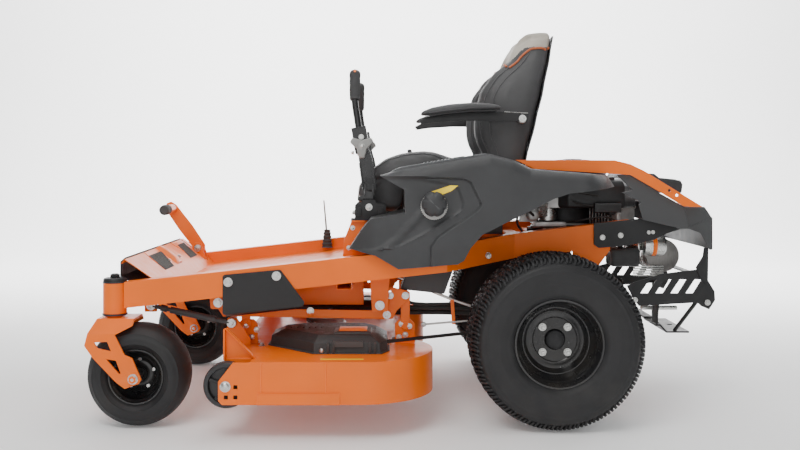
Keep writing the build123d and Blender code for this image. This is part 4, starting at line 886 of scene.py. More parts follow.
def cover_skin():
    bm = bmesh.new()
    bm.faces.new([bm.verts.new((x, 0, z)) for x, z in COVER_OUTLINE])
    lows = [min(p[i] for p in COVER_OUTLINE) for i in (0, 1)]
    highs = [max(p[i] for p in COVER_OUTLINE) for i in (0, 1)]
    for i, normal in ((0, (1, 0, 0)), (1, (0, 0, 1))):
        cuts = int((highs[i] - lows[i]) / COVER_GRID)
        for k in range(1, cuts + 1):
            spot = lows[i] + (highs[i] - lows[i]) * k / (cuts + 1)
            bmesh.ops.bisect_plane(
                bm, geom=bm.faces[:] + bm.edges[:] + bm.verts[:], dist=1e-6,
                plane_co=[spot * n for n in normal], plane_no=normal,
            )
    for v in bm.verts:
        v.co.y = cover_face_y(v.co.x, v.co.z)
    rim = [e for e in bm.edges if len(e.link_faces) == 1]
    for share in (0.03, 0.12, 1.0):
        grown = bmesh.ops.extrude_edge_only(bm, edges=rim)["geom"]
        rim = [g for g in grown if isinstance(g, bmesh.types.BMEdge)]
        for v in {v for e in rim for v in e.verts}:
            start = cover_face_y(v.co.x, v.co.z)
            v.co.y = start + (cover_return_y(v.co.x, v.co.z) - start) * share
    for v in bm.verts:
        v.co.y += CENTRE_Y
    bmesh.ops.remove_doubles(bm, verts=bm.verts, dist=1e-5)
    bmesh.ops.recalc_face_normals(bm, faces=bm.faces)
    return bm


def side_cover(side):
    """Moulded cover over a drive wheel, with its fuel-cap pocket and raised band."""
    skin = cover_skin()
    if side == "right":
        mirrored(skin)
    cover = make(f"{side}_cover", skin, FENDER_PLASTIC, "chassis", [f"{side}_fender"],
        radians(34))
    solid = cover.modifiers.new("thickness", "SOLIDIFY")
    solid.thickness = 0.003
    solid.offset = -1
    trim = gather(console_trim())
    if side == "right":
        mirrored(trim)
    make(f"{side}_console_trim", trim, TANK, "chassis")
    return cover


def console_trim():
    """Raised strip along the top of a cover, with a ribbed middle and a cup well's rim."""
    start, end = Vector((0.050, 0.8265)), Vector((-0.262, 0.8765))
    way = (end - start).normalized()
    up = Vector((way.y, -way.x))
    corners = []
    for along, rise in ((-0.01, -0.003), (0.02, 0.0055), (0.295, 0.0065), (0.325, -0.003)):
        p = start + way * along + up * rise
        corners.append((p.x, p.y))
    shapes = [prism(corners, 0.400, 0.512, "side", 0.0018)]
    for i in range(9):
        p = start + way * (0.10 + 0.012 * i) + up * 0.0062
        shapes.append(pillar(here(p.x, 0.415, p.y), here(p.x, 0.500, p.y), 0.0022, 0.0005, 10))
    return shapes


def fuel_cap():
    """Screw cap: ribbed skirt below a dark finger-notched dome; the skirt's light grey is a painted
    highlight of the rim.
    """
    low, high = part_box("fuel_cap")
    centre = Vector(((low.x + high.x) / 2, low.y - 0.034, (low.z + high.z) / 2))
    radius = (high.x - low.x) / 2
    way = Vector((0, 1, 0))
    drop = Vector((0, 0, -0.007))
    skirt = lathe([
        (0, 0.018), (radius - 0.006, 0.018), (radius - 0.002, 0.021), (radius, 0.030), (radius, 0.040),
        (radius - 0.003, 0.043), (0, 0.043),
    ], centre + drop, way, 72)
    ribs = [
        pillar(centre + drop + Vector((x, 0.022, z)), centre + drop + Vector((x, 0.040, z)), 0.0022, 0.0006,
        10)
        for x, z in ring(40, radius - 0.0006)
    ]
    # Painted highlight: the skirt gets light grey plastic to stand in for the light caught on the cap's
    # rim.
    make("fuel_cap_skirt", [skirt, ribs], KNOB_PLASTIC, "fuel_cap")
    steps, rings = 96, []
    for r, y, notch in ((0.0, 0.066, 0), (0.35, 0.0655, 0), (0.62, 0.063, 0.1), (0.82, 0.058, 0.5),
        (0.93, 0.052, 1),
                        (0.97, 0.047, 1), (0.97, 0.042, 1)):
        ring_points = []
        for i in range(steps):
            a = 2 * pi * i / steps
            wave = max(0.0, cos(6 * a)) ** 3
            scale = radius * max(r, 0.001) * (1 - 0.09 * notch * wave)
            ring_points.append(centre + Vector((scale * sin(a), y - 0.004 * notch * wave, scale * cos(a))))
        rings.append(ring_points)
    make("fuel_cap_dome", loft(rings), FENDER_PLASTIC, "fuel_cap", ["fuel_cap"])


def fuel_sticker():
    """Plain yellow marker above the filler."""
    shape = [(-0.068, 0.757), (-0.128, 0.777), (-0.152, 0.776), (-0.132, 0.759), (-0.104, 0.748)]
    rings = [
        [here(x, cover_face_y(x, z) + lift, z) for x, z in shape] for lift in (-0.004, 0.0012)
    ]
    make("filler_marker", loft(rings), YELLOW, "chassis")


# ---------------------------------------------------------------- upholstery
PUFF_LIMIT = 0.012         # farthest that the cloth may move off the drawn form
VOXEL = 0.006
SEAM_HOLD = 0.010          # reach of a seam's hold on the fabric round it
PRESSURE = 4.0
STRETCH_STIFFNESS = 18
BEND_STIFFNESS = 0.6
CLOTH_FRAMES = 20


def drop_nearest(tree, p, lift=0.0):
    found = tree.find_nearest(Vector(p))
    return found[0] + found[1] * lift


def surface_of(piece):
    dg = bpy.context.evaluated_depsgraph_get()
    bm = bmesh.new()
    bm.from_object(piece, dg)
    tree = BVHTree.FromBMesh(bm)
    bm.free()
    return tree


def puffed(bm, name, seams, held):
    """A sewn pad: remeshed, swollen by cloth pressure between its seams, then smoothed."""
    mesh = bpy.data.meshes.new(name)
    mark_sharp(bm, pi)
    bm.to_mesh(mesh)
    bm.free()
    pad = bpy.data.objects.new(name, mesh)
    bpy.context.scene.collection.objects.link(pad)
    remesh = pad.modifiers.new("remesh", "REMESH")
    remesh.mode = "VOXEL"
    remesh.voxel_size = VOXEL
    bake(pad)
    lines = [smooth_path(s, 6) for s in seams]
    spots = [p for line in lines for p in line]
    rest = [v.co.copy() for v in pad.data.vertices]
    pins = pad.vertex_groups.new(name="held")
    for v in pad.data.vertices:
        near = min(((v.co - p).length for p in spots), default=1.0)
        hold = max(1.0 - near / SEAM_HOLD, held(v.co))
        if hold > 0:
            pins.add([v.index], min(1.0, hold), "REPLACE")
    cloth = pad.modifiers.new("cloth", "CLOTH")
    cloth.settings.use_pressure = True
    cloth.settings.uniform_pressure_force = PRESSURE
    cloth.settings.effector_weights.gravity = 0.0
    cloth.settings.vertex_group_mass = "held"
    cloth.settings.tension_stiffness = STRETCH_STIFFNESS
    cloth.settings.compression_stiffness = STRETCH_STIFFNESS
    cloth.settings.bending_stiffness = BEND_STIFFNESS
    cloth.settings.quality = 4
    cloth.point_cache.frame_start, cloth.point_cache.frame_end = 1, CLOTH_FRAMES
    for step in range(1, CLOTH_FRAMES + 1):
        bpy.context.scene.frame_set(step)
    bake(pad)
    bpy.context.scene.frame_set(1)
    for v, start in zip(pad.data.vertices, rest):
        shift = v.co - start
        if shift.length > PUFF_LIMIT:
            v.co = start + shift.normalized() * PUFF_LIMIT
    ease = pad.modifiers.new("ease", "SMOOTH")
    ease.factor, ease.iterations = 0.5, 3
    bake(pad)
    for face in pad.data.polygons:
        face.use_smooth = True
    return pad


def bake(piece):
    """Applies every modifier on a piece."""
    dg = bpy.context.evaluated_depsgraph_get()
    mesh = bpy.data.meshes.new_from_object(piece.evaluated_get(dg))
    old = piece.data
    piece.modifiers.clear()
    piece.data = mesh
    bpy.data.meshes.remove(old)


def seam(name, piece, lines, body, material=None, radius=0.0017, sink=0.4, stitched=True):
    """Welt cords laid on a pad's surface, with a row of stitches beside each."""
    tree = surface_of(piece)
    cords, threads = [], []
    for line in lines:
        path = [drop_nearest(tree, p, radius * (1 - sink)) for p in smooth_path(line, 10)]
        cords.append(pipe(path, radius, 8, 1))
        if not stitched:
            continue
        travelled = 0.0
        for a, b in zip(path, path[1:]):
            travelled += (b - a).length
            if travelled < 0.0105:
                continue
            travelled = 0.0
            out = tree.find_nearest(a)[1]
            way = (b - a).normalized()
            across = way.cross(out).normalized() * 0.0055
            middle = drop_nearest(tree, a + across, 0.0004)
            threads.append(pipe([middle - way * 0.0028, middle + way * 0.0028], 0.0007, 5, 1))
    made = make(name, cords, material or VINYL, body)
    if threads:
        make(f"{name}_stitches", threads, THREAD, body)
    return made


def curve_x(line, z):
    """Interpolates a line of (x, z) points by height."""
    points = sorted(line, key=lambda p: p[1])
    if z <= points[0][1]:
        return points[0][0]
    for (x0, z0), (x1, z1) in zip(points, points[1:]):
        if z <= z1:
            return (
                x0 + (x1 - x0) * eased((z - z0) / (z1 - z0)) * 0.35
                + (x1 - x0) * 0.65 * (z - z0) / (z1 - z0)
            )
    return points[-1][0]


BACK_FRONT = [
    (-0.262, 0.800), (-0.263, 0.880), (-0.243, 0.921), (-0.234, 0.957), (-0.234, 1.008), (-0.255, 1.098),
    (-0.296, 1.158),
    (-0.372, 1.222), (-0.420, 1.306),
]
BACK_REAR = [(-0.394, 0.800), (-0.409, 0.867), (-0.442, 0.996), (-0.469, 1.110), (-0.500, 1.237),
    (-0.513, 1.306)]
BACK_TOP = 1.304
HALF_WIDTH = (SEAT_BOX[1].y - SEAT_BOX[0].y) / 2


def back_half_width(z):
    return 0.236 - 0.062 * eased((z - 1.08) / 0.22)


def seat_back():
    """Tall back: side wings, a hollow middle, a pale head panel and piped seams."""
    rings = []
    heights = [0.800 + (BACK_TOP - 0.800) * i / 34 for i in range(35)]
    across = [-1, -0.985, -0.93, -0.84, -0.72, -0.6, -0.45, -0.2, 0, 0.2, 0.45, 0.6, 0.72, 0.84, 0.93,
        0.985, 1]
    for z in heights:
        front, rear = curve_x(BACK_FRONT, z), curve_x(BACK_REAR, z)
        end = max(eased((z - 1.255) / 0.07), 0.0)
        half = back_half_width(z) * (1 - 0.12 * end ** 2)
        hollow = 0.048 * (1 - eased((z - 1.15) / 0.12)) + 0.006
        ring_points = []
        for a in across:
            edge = sqrt(max(0.0, 1 - max(0.0, (abs(a) - 0.80) / 0.2) ** 2))
            dip = hollow * (1 - eased((abs(a) - 0.42) / 0.30))
            x = rear + (front - dip - rear) * (0.28 + 0.72 * edge)
            ring_points.append(here(x, a * half, z))
        for a in reversed(across):
            edge = sqrt(max(0.0, 1 - max(0.0, (abs(a) - 0.86) / 0.14) ** 2))
            x = front + (rear - front) * (0.78 + 0.22 * edge)
            ring_points.append(here(x, a * half, z))
        rings.append(ring_points)
    top = []
    for rise, shrink in ((0.010, 0.93), (0.0165, 0.80), (0.0190, 0.60)):
        centre = sum(rings[34], Vector()) / len(rings[34])
        top.append([
            Vector((centre.x + (p.x - centre.x) * shrink, centre.y + (p.y - centre.y) * (0.5 + shrink / 2),
            p.z + rise))
            for p in rings[34]
        ])
    bm = loft(rings + top)

    def held(p):
        low = eased((0.835 - p.z) / 0.03)
        rear = eased((curve_x(BACK_REAR, p.z) + 0.02 - p.x) / 0.02)
        return max(low, rear * 0.8)

    def wing(side, inset, low=0.83, high=1.255):
        line = []
        for i in range(9):
            z = low + (high - low) * i / 8
            line.append(here(curve_x(BACK_FRONT, z) - inset, side * back_half_width(z), z))
        return line

    def panel(side):
        return [
            here(curve_x(BACK_FRONT, z) - 0.02, side * 0.62 * back_half_width(z), z) for z in (0.84, 0.93,
            1.02, 1.11, 1.19)
        ]

    def cross(z):
        return [here(curve_x(BACK_FRONT, z) - 0.03, y, z) for y in (-0.135, -0.07, 0, 0.07, 0.135)]

    head = []
    for y in (-0.19, -0.12, -0.05, 0.05, 0.12, 0.19):
        head.append(here(curve_x(BACK_FRONT, 1.205) + 0.01, y, 1.205))
    side_line = [(-0.350, 1.208), (-0.372, 1.232), (-0.398, 1.256), (-0.430, 1.268), (-0.470, 1.268),
        (-0.506, 1.258)]
    head_sides = [[here(x, s * 0.21, z) for x, z in side_line] for s in (1, -1)]
    head_back = [here(-0.53, y, 1.258) for y in (-0.19, -0.1, 0, 0.1, 0.19)]
    wings = [wing(s, 0.050) for s in (1, -1)]
    fronts = [wing(s, 0.004, 0.83, 1.215) for s in (1, -1)]
    channels = [cross(z) for z in (0.90, 0.965, 1.03, 1.095)]
    panels = [panel(s) for s in (1, -1)]
    back = puffed(bm, "seat_back_pad", wings + channels + panels + [head] + head_sides, held)
    back.data.materials.append(VINYL)
    back.data.materials.append(VINYL_LIGHT)
    for face in back.data.polygons:
        x, z = face.center.x, face.center.z
        limit = 1.208 + 0.056 * eased((-0.350 - x) / 0.08)
        face.material_index = 1 if z > limit else 0
    finish_pad(back, "seat", ["seat_back"])
    seam("back_wing_seams", back, wings + fronts, "seat")
    seam("back_channels", back, channels + panels, "seat", radius=0.0014)
    seam("head_piping", back, [head, head_back] + head_sides, "seat", PIPING, 0.0042, 0.5, False)
    shell = []
    for i in range(20):
        z = 0.835 + (BACK_TOP - 0.835) * i / 19
        x = curve_x(BACK_REAR, z)
        half = back_half_width(z) - 0.012
        shell.append([here(x - 0.0075 + 0.004 * (a / 6) ** 4 - (0.005 if out else 0.0), half * a / 6, z)
                      for out in (0, 1) for a in (range(-6, 7) if out == 0 else range(6, -7, -1))])
    make("seat_back_board", loft(shell), BLACK_PLASTIC, "seat")
    pins = []
    for s in (1, -1):
        p = PIVOT["left_armrest_fold"]
        foot = here(p.x, s * (HALF_WIDTH - 0.012), p.z)
        pins.append(pillar(foot, foot + Vector((0, s * 0.029, 0)), 0.0165, 0.002, 28))
        pins.append(pillar(foot, foot + Vector((0, s * 0.0385, 0)), 0.0078, 0.001, 20))
    make("armrest_pins", pins, STEEL, "seat")


def finish_pad(pad, body, nodes):
    sub = pad.modifiers.new("smooth", "SUBSURF")
    sub.levels = sub.render_levels = 1
    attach(pad, body)
    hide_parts(*nodes)


CUSHION_SIDE_RING = [
    (-0.228, 0.800), (-0.238, 0.832), (-0.224, 0.858), (-0.143, 0.862), (-0.094, 0.882), (-0.055, 0.8865),
    (0.019, 0.881),
    (0.077, 0.864), (0.126, 0.832), (0.158, 0.796), (0.176, 0.769), (0.180, 0.742), (0.180, 0.716),
    (0.166, 0.692),
    (0.110, 0.684), (0.046, 0.678), (0.027, 0.696), (0.026, 0.740), (0.022, 0.778), (-0.100, 0.778),
    (-0.216, 0.779),
]


def seat_cushion():
    """Bottom cushion: high side rolls, channelled middle and a waterfall front."""
    rings = []
    centre = Vector((-0.03, 0.82))
    for a in (-1, -0.985, -0.95, -0.89, -0.80, -0.70, -0.60, -0.50, -0.3, 0, 0.3, 0.50, 0.60, 0.70, 0.80,
        0.89, 0.95, 0.985, 1):
        shrink = 0.022 * (1 - sqrt(max(0.0, 1 - max(0.0, (abs(a) - 0.82) / 0.18) ** 2)))
        dip = 0.040 * (1 - eased((abs(a) - 0.48) / 0.26))
        y = a * (HALF_WIDTH - 0.012)
        ring_points = []
        for x, z in CUSHION_SIDE_RING:
            top = eased((z - 0.790) / 0.05)
            toward = (centre - Vector((x, z))).normalized() * shrink
            ring_points.append(here(x + toward.x - (0.010 * dip / 0.04 if x > 0.14 else 0), y,
                z + toward.y - dip * top))
        rings.append(ring_points)
    bm = loft(rings)

    def held(p):
        return max(eased((0.800 - p.z) / 0.012) * eased((0.10 - p.x) / 0.02), eased((0.725 - p.z) / 0.02))

    def roll(side, share):
        return [here(x, side * share * HALF_WIDTH, z + 0.01) for x, z in
                ((-0.215, 0.850), (-0.15, 0.858), (-0.06, 0.885), (0.03, 0.876), (0.10, 0.845),
                (0.155, 0.795), (0.18, 0.73))]

    edges = [roll(s, 0.93) for s in (1, -1)]
    rolls = [roll(s, 0.62) for s in (1, -1)]
    channels = [[here(x, y, 0.87) for y in (-0.13, -0.065, 0, 0.065, 0.13)] for x in (-0.15, -0.075, 0.0,
        0.075)]
    cushion = puffed(bm, "seat_cushion_pad", edges + rolls + channels, held)
    cushion.data.materials.append(VINYL)
    finish_pad(cushion, "seat", ["seat_cushion"])
    seam("cushion_seams", cushion, edges + rolls, "seat")
    seam("cushion_channels", cushion, channels, "seat", radius=0.0014)
    pan = prism([(-0.230, 0.7760), (0.020, 0.7760), (0.020, 0.7810), (-0.230, 0.7810)], -0.222, 0.222,
        "side", 0.001)
    make("cushion_pan", pan, BLACK_PLASTIC, "seat")


def armrests():
    """Curved arm pads on their folding brackets."""
    for side, sign in SIDES.items():
        body = f"{side}_armrest"
        rings = []
        top = [(-0.041, 1.022), (-0.052, 1.029), (-0.080, 1.040), (-0.140, 1.0505), (-0.212, 1.0560),
            (-0.275, 1.0530),
               (-0.308, 1.0465), (-0.319, 1.0400)]
        low = [1.013, 1.010, 1.013, 1.0190, 1.0275, 1.0300, 1.0305, 1.0325]
        for (x, z), bottom in zip(top, low):
            end = 1.0 if 0.05 < -x < 0.31 else 0.66
            ring_points = []
            for i in range(20):
                a = 2 * pi * i / 20
                half_z = (z - bottom) / 2
                y = 0.296 + 0.027 * end * (abs(cos(a)) ** 0.7) * (1 if cos(a) > 0 else -1)
                zz = (z + bottom) / 2 + half_z * (abs(sin(a)) ** 0.8) * (1 if sin(a) > 0 else -1)
                ring_points.append(here(x, sign * y, zz))
            rings.append(ring_points)
        welt = [here(x, sign * 0.33, z) for x, z in ((-0.07, 1.018), (-0.12, 1.026), (-0.18, 1.033),
            (-0.24, 1.037), (-0.295, 1.037))]

        def held(p):
            return eased((1.016 + 0.016 * eased((-0.06 - p.x) / 0.15) - p.z) / 0.004)

        pad = puffed(loft(rings), f"{side}_arm_pad", [welt], held)
        pad.data.materials.append(VINYL)
        finish_pad(pad, body, [f"{side}_armrest"])
        seam(f"{side}_arm_welt", pad, [welt], body, radius=0.0012, stitched=False)
        bar = [
            (-0.417, 1.021), (-0.413, 0.994), (-0.190, 0.996), (-0.090, 0.990), (-0.044, 0.983),
            (-0.036, 0.996), (-0.060, 1.008),
            (-0.120, 1.020), (-0.200, 1.029), (-0.330, 1.026),
        ]
        y = (0.2685, 0.2755)
        hinge = PIVOT[f"{side}_armrest_fold"]
        tray = [(-0.300, 1.0265), (-0.210, 1.0245), (-0.120, 1.0165), (-0.070, 1.0085), (-0.070, 1.0125),
            (-0.120, 1.0205),
                (-0.210, 1.0290), (-0.300, 1.0310)]
        shapes = [prism(bar, *y, "side", 0.0012), prism(tray, 0.270, 0.318, "side", 0.001)]
        if side == "right":
            shapes = [mirrored(gather(shapes))]
        make(f"{side}_arm_bracket", shapes, BLACK_PLASTIC, body)
        p = here(hinge.x, sign * 0.2762, hinge.z)
        top_edge = pipe([here(-0.332, sign * 0.2735, 1.0262), here(-0.414, sign * 0.2735, 1.0215)], 0.0022,
            8, 1)
        make(f"{side}_arm_bolt", [bolt(p, (0, sign, 0), 0.013, 0.013, height=0.005), top_edge], ZINC, body)


# ---------------------------------------------------------------- steering levers
def lever_parts():
    """Everything above the lever's hinge, drawn on the left side."""
    pin = PIVOT["left_lever_park"] - Vector((0, CENTRE_Y, 0))
    x, y, z = pin
    dark, steel = [], []
    channel = [
        (x - 0.024, z - 0.006), (x + 0.024, z - 0.006), (x + 0.028, z + 0.040), (x + 0.036, z + 0.100),
        (x + 0.046, z + 0.172),
        (x + 0.012, z + 0.176), (x - 0.010, z + 0.100), (x - 0.022, z + 0.040),
    ]
    dark.append(prism(channel, y - 0.0035, y + 0.0035, "side", 0.0012))
    for low, high in ((x - 0.0235, x - 0.0185), (x + 0.0185, x + 0.0235)):
        cheek = [(low, z - 0.004), (high, z - 0.004), (high + 0.012, z + 0.085), (low + 0.012, z + 0.085)]
        dark.append(prism(cheek, y - 0.014, y + 0.014, "side", 0.001))
    clamp = [
        (x + 0.004, z + 0.168), (x + 0.054, z + 0.160), (x + 0.062, z + 0.205), (x + 0.012, z + 0.214),
    ]
    dark.append(prism(clamp, y - 0.019, y + 0.019, "side", 0.0025))
    dark.append(prism([(x + 0.002, z + 0.120), (x + 0.046, z + 0.116), (x + 0.058, z + 0.168),
        (x + 0.006, z + 0.174)],
                      y - 0.013, y + 0.013, "side", 0.002))
    elbow = here(x + 0.050, y, 1.072)
    tip = here(x + 0.050, y - 0.034, 1.172)
    foot = here(x + 0.026, y, z + 0.130)
    dark.append(pipe([foot, here(x + 0.038, y, 0.980), here(x + 0.047, y, 1.040), elbow,
        elbow.lerp(tip, 0.35)], 0.0115, 20, 8))
    way = (tip - elbow).normalized()
    front = Vector((1, 0, 0))
    side = way.cross(front)
    grip_rings = []
    for t, a, b in ((-0.06, 0.0125, 0.0125), (-0.055, 0.0165, 0.0160), (0.0, 0.0172, 0.0162),
        (0.15, 0.0178, 0.0158),
                    (0.30, 0.0186, 0.0165), (0.42, 0.0180, 0.0157), (0.55, 0.0190, 0.0166),
                    (0.68, 0.0184, 0.0158),
                    (0.80, 0.0196, 0.0166), (0.90, 0.0188, 0.0156), (0.96, 0.0150, 0.0125),
                    (0.995, 0.0085, 0.007), (1.005, 0.002, 0.002)):
        p = elbow.lerp(tip, t)
        grip_rings.append([
            p + front * a * cos(2 * pi * i / 32) + side * b * sin(2 * pi * i / 32) for i in range(32)
        ])
    grip = loft(grip_rings)
    inlay_rings = []
    for t, w in ((0.86, 0.003), (0.93, 0.0045), (0.985, 0.004), (1.01, 0.002)):
        p = elbow.lerp(tip, t) + side * (0.0158 if t < 0.95 else 0.006 if t < 1 else 0.0)
        inlay_rings.append([p + front * w + side * 0.0012, p - front * w + side * 0.0012,
            p - front * w - side * 0.004,
                            p + front * w - side * 0.004])
    inlay = loft(inlay_rings)
    knob_at = here(x + 0.025, y + 0.0135, 0.907)
    out = Vector((0, 1, 0))
    knob = []
    for k in range(3):
        a = radians(90 + 120 * k) + pi
        way_k = Vector((cos(a), 0, sin(a)))
        lobes = []
        for t, half, top in ((0.0, 0.018, 0.016), (0.35, 0.0165, 0.0165), (0.72, 0.0125, 0.0155),
            (0.92, 0.0105, 0.0140), (1.0, 0.005, 0.010)):
            p = knob_at + way_k * 0.0425 * t
            across = Vector((-way_k.z, 0, way_k.x))
            lobes.append([p - across * half, p - across * half + out * (top - 0.004),
                p - across * (half - 0.003) + out * top,
                          p + across * (half - 0.003) + out * top, p + across * half + out * (top - 0.004),
                          p + across * half])
        knob.append(round_edges(loft(lobes), 0.0012, 2))
    knob.append(lathe([(0, 0.018), (0.0105, 0.0175), (0.0125, 0.0145), (0.0125, 0.0)], knob_at, out, 28))
    steel.append(lathe([(0, 0.0206), (0.0045, 0.0204), (0.0062, 0.0186), (0.0062, 0.0150)], knob_at, out,
        18))
    steel += bolt(here(x + 0.027, y + 0.019, 0.938), out, 0.013, 0.0095, height=0.006)
    steel += bolt(here(x + 0.052, y + 0.006, 0.884), (1, 0, 0.1), 0.010, 0.008)
    return dark, grip, inlay, knob, steel


def base_parts():
    """Yoke that rocks fore and aft, with its sleeve and damper ear."""
    pin = PIVOT["left_lever_drive"] - Vector((0, CENTRE_Y, 0))
    x, y, z = pin
    shapes = [
        lathe([(0.0085, -0.028), (0.0150, -0.028), (0.0158, -0.026), (0.0158, 0.026), (0.0150, 0.028),
        (0.0085, 0.028)],
              here(x, y, z), (0, 1, 0), 36, closed=True),
        box((x - 0.0135, y - 0.011, z + 0.012), (x + 0.0135, y + 0.011, z + 0.052), 0.0018),
        box((x - 0.0165, y - 0.013, z + 0.038), (x - 0.0102, y + 0.013, z + 0.076), 0.0015),
        box((x + 0.0102, y - 0.013, z + 0.038), (x + 0.0165, y + 0.013, z + 0.076), 0.0015),
        prism([(x + 0.012, z + 0.016), (x + 0.040, z + 0.022), (x + 0.040, z + 0.034),
        (x + 0.012, z + 0.040)], y - 0.004, y + 0.004),
    ]
    return shapes


def mount_parts():
    """Pivot box: folded side plates, stop bumpers and the leg to the frame."""
    pin = PIVOT["left_lever_drive"] - Vector((0, CENTRE_Y, 0))
    x, y, z = pin
    dark = []
    for inner, outer in ((y + 0.0415, y + 0.0455), (y - 0.0455, y - 0.0415)):
        plate = [
            (x - 0.058, z - 0.045), (x + 0.048, z - 0.045), (x + 0.048, z + 0.006), (x + 0.041, z + 0.014),
            (x + 0.026, z + 0.014),
            (x + 0.022, z + 0.025), (x - 0.020, z + 0.025), (x - 0.026, z + 0.012), (x - 0.050, z + 0.012),
            (x - 0.058, z + 0.002),
        ]
        dark.append(prism(plate, inner, outer, "side", 0.0012))
    dark.append(box((x - 0.058, y - 0.045, z - 0.045), (x - 0.054, y + 0.045, z - 0.004), 0.001))
    dark.append(box((x + 0.044, y - 0.045, z - 0.045), (x + 0.048, y + 0.045, z - 0.004), 0.001))
    dark.append(box((x - 0.058, y - 0.045, z - 0.045), (x + 0.048, y + 0.045, z - 0.041), 0.001))
    dark.append(prism([(x + 0.030, z - 0.0755), (x + 0.062, z - 0.0755), (x + 0.062, z - 0.040),
        (x + 0.024, z - 0.040)],
                      y - 0.03, y + 0.03, "side", 0.002))
    for dx in (-0.040, 0.034):
        dark.append(box((x + dx - 0.008, y + 0.0445, z - 0.030), (x + dx + 0.008, y + 0.0515, z - 0.002),
            0.0018))
    dark.append(box((-0.020, 0.240, 0.650), (x + 0.062, y - 0.024, 0.654), 0.0008))
    steel = [
        pillar(here(x, y - 0.047, z), here(x, y + 0.050, z), 0.0078, 0.001, 20),
        bolt(here(x, y + 0.0455, z), (0, 1, 0), 0.013, 0.012),
        bolt(here(x + 0.048, y + 0.020, z - 0.020), (1, 0, 0), 0.011, 0.009),
        bolt(here(x + 0.048, y - 0.020, z - 0.020), (1, 0, 0), 0.011, 0.009),
        bolt(here(x - 0.0455, y + 0.0455, z - 0.034), (0, 1, 0), 0.010, 0.008),
    ]
    return dark, steel


def levers():
    for side in SIDES:
        dark, grip, inlay, knob, steel = lever_parts()
        sets = {"arm": (dark, BLACK_GLOSS), "grip": (grip, GRIP), "grip_inlay": (inlay, PAINT),
            "knob": (knob, KNOB_PLASTIC),
                "bolts": (steel, ZINC)}
        for part, (shapes, material) in sets.items():
            shape = gather(shapes)
            if side == "right":
                mirrored(shape)
            stands = [f"{side}_lever"] if part == "arm" else ()
            make(f"{side}_lever_{part}", shape, material, f"{side}_lever", stands)
        base = gather(base_parts())
        dark, steel = mount_parts()
        dark, steel = gather(dark), gather(steel)
        if side == "right":
            for shape in (base, dark, steel):
                mirrored(shape)
        make(f"{side}_yoke", base, BLACK_GLOSS, f"{side}_lever_base", [f"{side}_lever_base"])
        stands = ["lever_mounts"] if side == "left" else ()
        make(f"{side}_pivot_box", dark, CHARCOAL, "chassis", stands)
        make(f"{side}_pivot_bolts", steel, ZINC, "chassis")


def lever_uprights():
    """Painted plates that carry the lever boxes up from the floor, with their bolts."""
    plates, steel = [], []
    outline = [(0.140, 0.528), (0.226, 0.522), (0.220, 0.590), (0.200, 0.640), (0.196, 0.6535),
        (0.140, 0.6535)]
    for s in (1, -1):
        low, high = sorted((s * 0.330, s * 0.335))
        plates.append(prism(outline, low, high, "side", 0.0012))
        flange = 0.012 if s > 0 else 0.0
        plates.append(box((0.150, low, 0.6485), (0.196, high + flange, 0.6535), 0.001))
        for x, z in ((0.205, 0.560), (0.192, 0.628)):
            steel += bolt(here(x, s * 0.335, z), (0, s, 0), 0.010, 0.0085, height=0.005)
    make("lever_uprights", plates, PAINT, "chassis")
    make("upright_bolts", steel, ZINC, "chassis")


def brake_lever():
    """Thin lever in its bellows boot."""
    pin = PIVOT["brake_lever_swing"]
    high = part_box("brake_lever")[1]
    way = Vector((0.017, 0, high.z - pin.z)).normalized()
    length = high.z - pin.z
    folds = []
    for i in range(25):
        t = i / 24
        folds.append((0.0215 - 0.0085 * t + 0.0016 * cos(t * 2 * pi * 5), -0.002 + 0.074 * t))
    profile = [(0, -0.003)] + folds + [(0.0, 0.073)]
    make("brake_boot", lathe(profile, (pin.x + 0.003, pin.y, pin.z - 0.001), (0, 0, 1), 40), GRIP,
        "brake_lever",
         ["brake_lever"])
    rod = pipe([pin + way * 0.03, pin + way * (length - 0.001)], lambda t: 0.0046 - 0.0016 * t, 14, 6)
    make("brake_rod", rod, KNOB_PLASTIC, "brake_lever")


# ---------------------------------------------------------------- mowing deck
def belt_cover():
    """Faceted cover over an outer spindle: flange, sloped walls, raised box, arches."""
    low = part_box("belt_covers")[0].z
    plan = [
        (0.066, 0.330), (0.066, 0.510), (0.090, 0.565), (0.310, 0.565), (0.470, 0.410), (0.470, 0.300),
        (0.400, 0.262),
        (0.120, 0.262),
    ]
    centre = Vector((0.245, 0.41))

    def level(scale, z, lift=0.0):
        return [here(centre.x + (x - centre.x) * scale, centre.y + (y - centre.y) * scale, z + lift) for x,
            y in plan]

    body = round_edges(loft([
        level(1.0, low), level(1.0, low + 0.004), level(0.965, low + 0.005), level(0.945, low + 0.034),
        level(0.80, low + 0.050),
        level(0.74, low + 0.056),
    ]), 0.0025, 2, radians(14))
    riser = [
        [here(x, y, z) for x, y in corners] for corners, z in (
            ([(0.112, 0.384), (0.112, 0.520), (0.256, 0.520), (0.256, 0.384)], low + 0.040),
            ([(0.126, 0.398), (0.126, 0.507), (0.244, 0.507), (0.244, 0.398)], low + 0.0595),
            ([(0.136, 0.408), (0.136, 0.497), (0.234, 0.497), (0.234, 0.408)], low + 0.0620),
        )
    ]
    shapes = [body, round_edges(loft(riser), 0.002, 2, radians(14))]
    front = [(0.150, 0.565), (0.150, 0.525), (0.245, 0.525), (0.245, 0.565)]
    shapes.append(loft([[here(x, y, z) for x, y in front] for z in (low + 0.022, low + 0.040)]))
    for x in (0.112, 0.128, 0.244, 0.262):
        shapes.append(box((x - 0.004, 0.525, low), (x + 0.004, 0.5665, low + 0.036), 0.002))
    for i in range(6):
        x = 0.290 + 0.020 * i
        shapes.append(box((x, 0.340, low + 0.0545), (x + 0.006, 0.400, low + 0.058), 0.001))
    return shapes


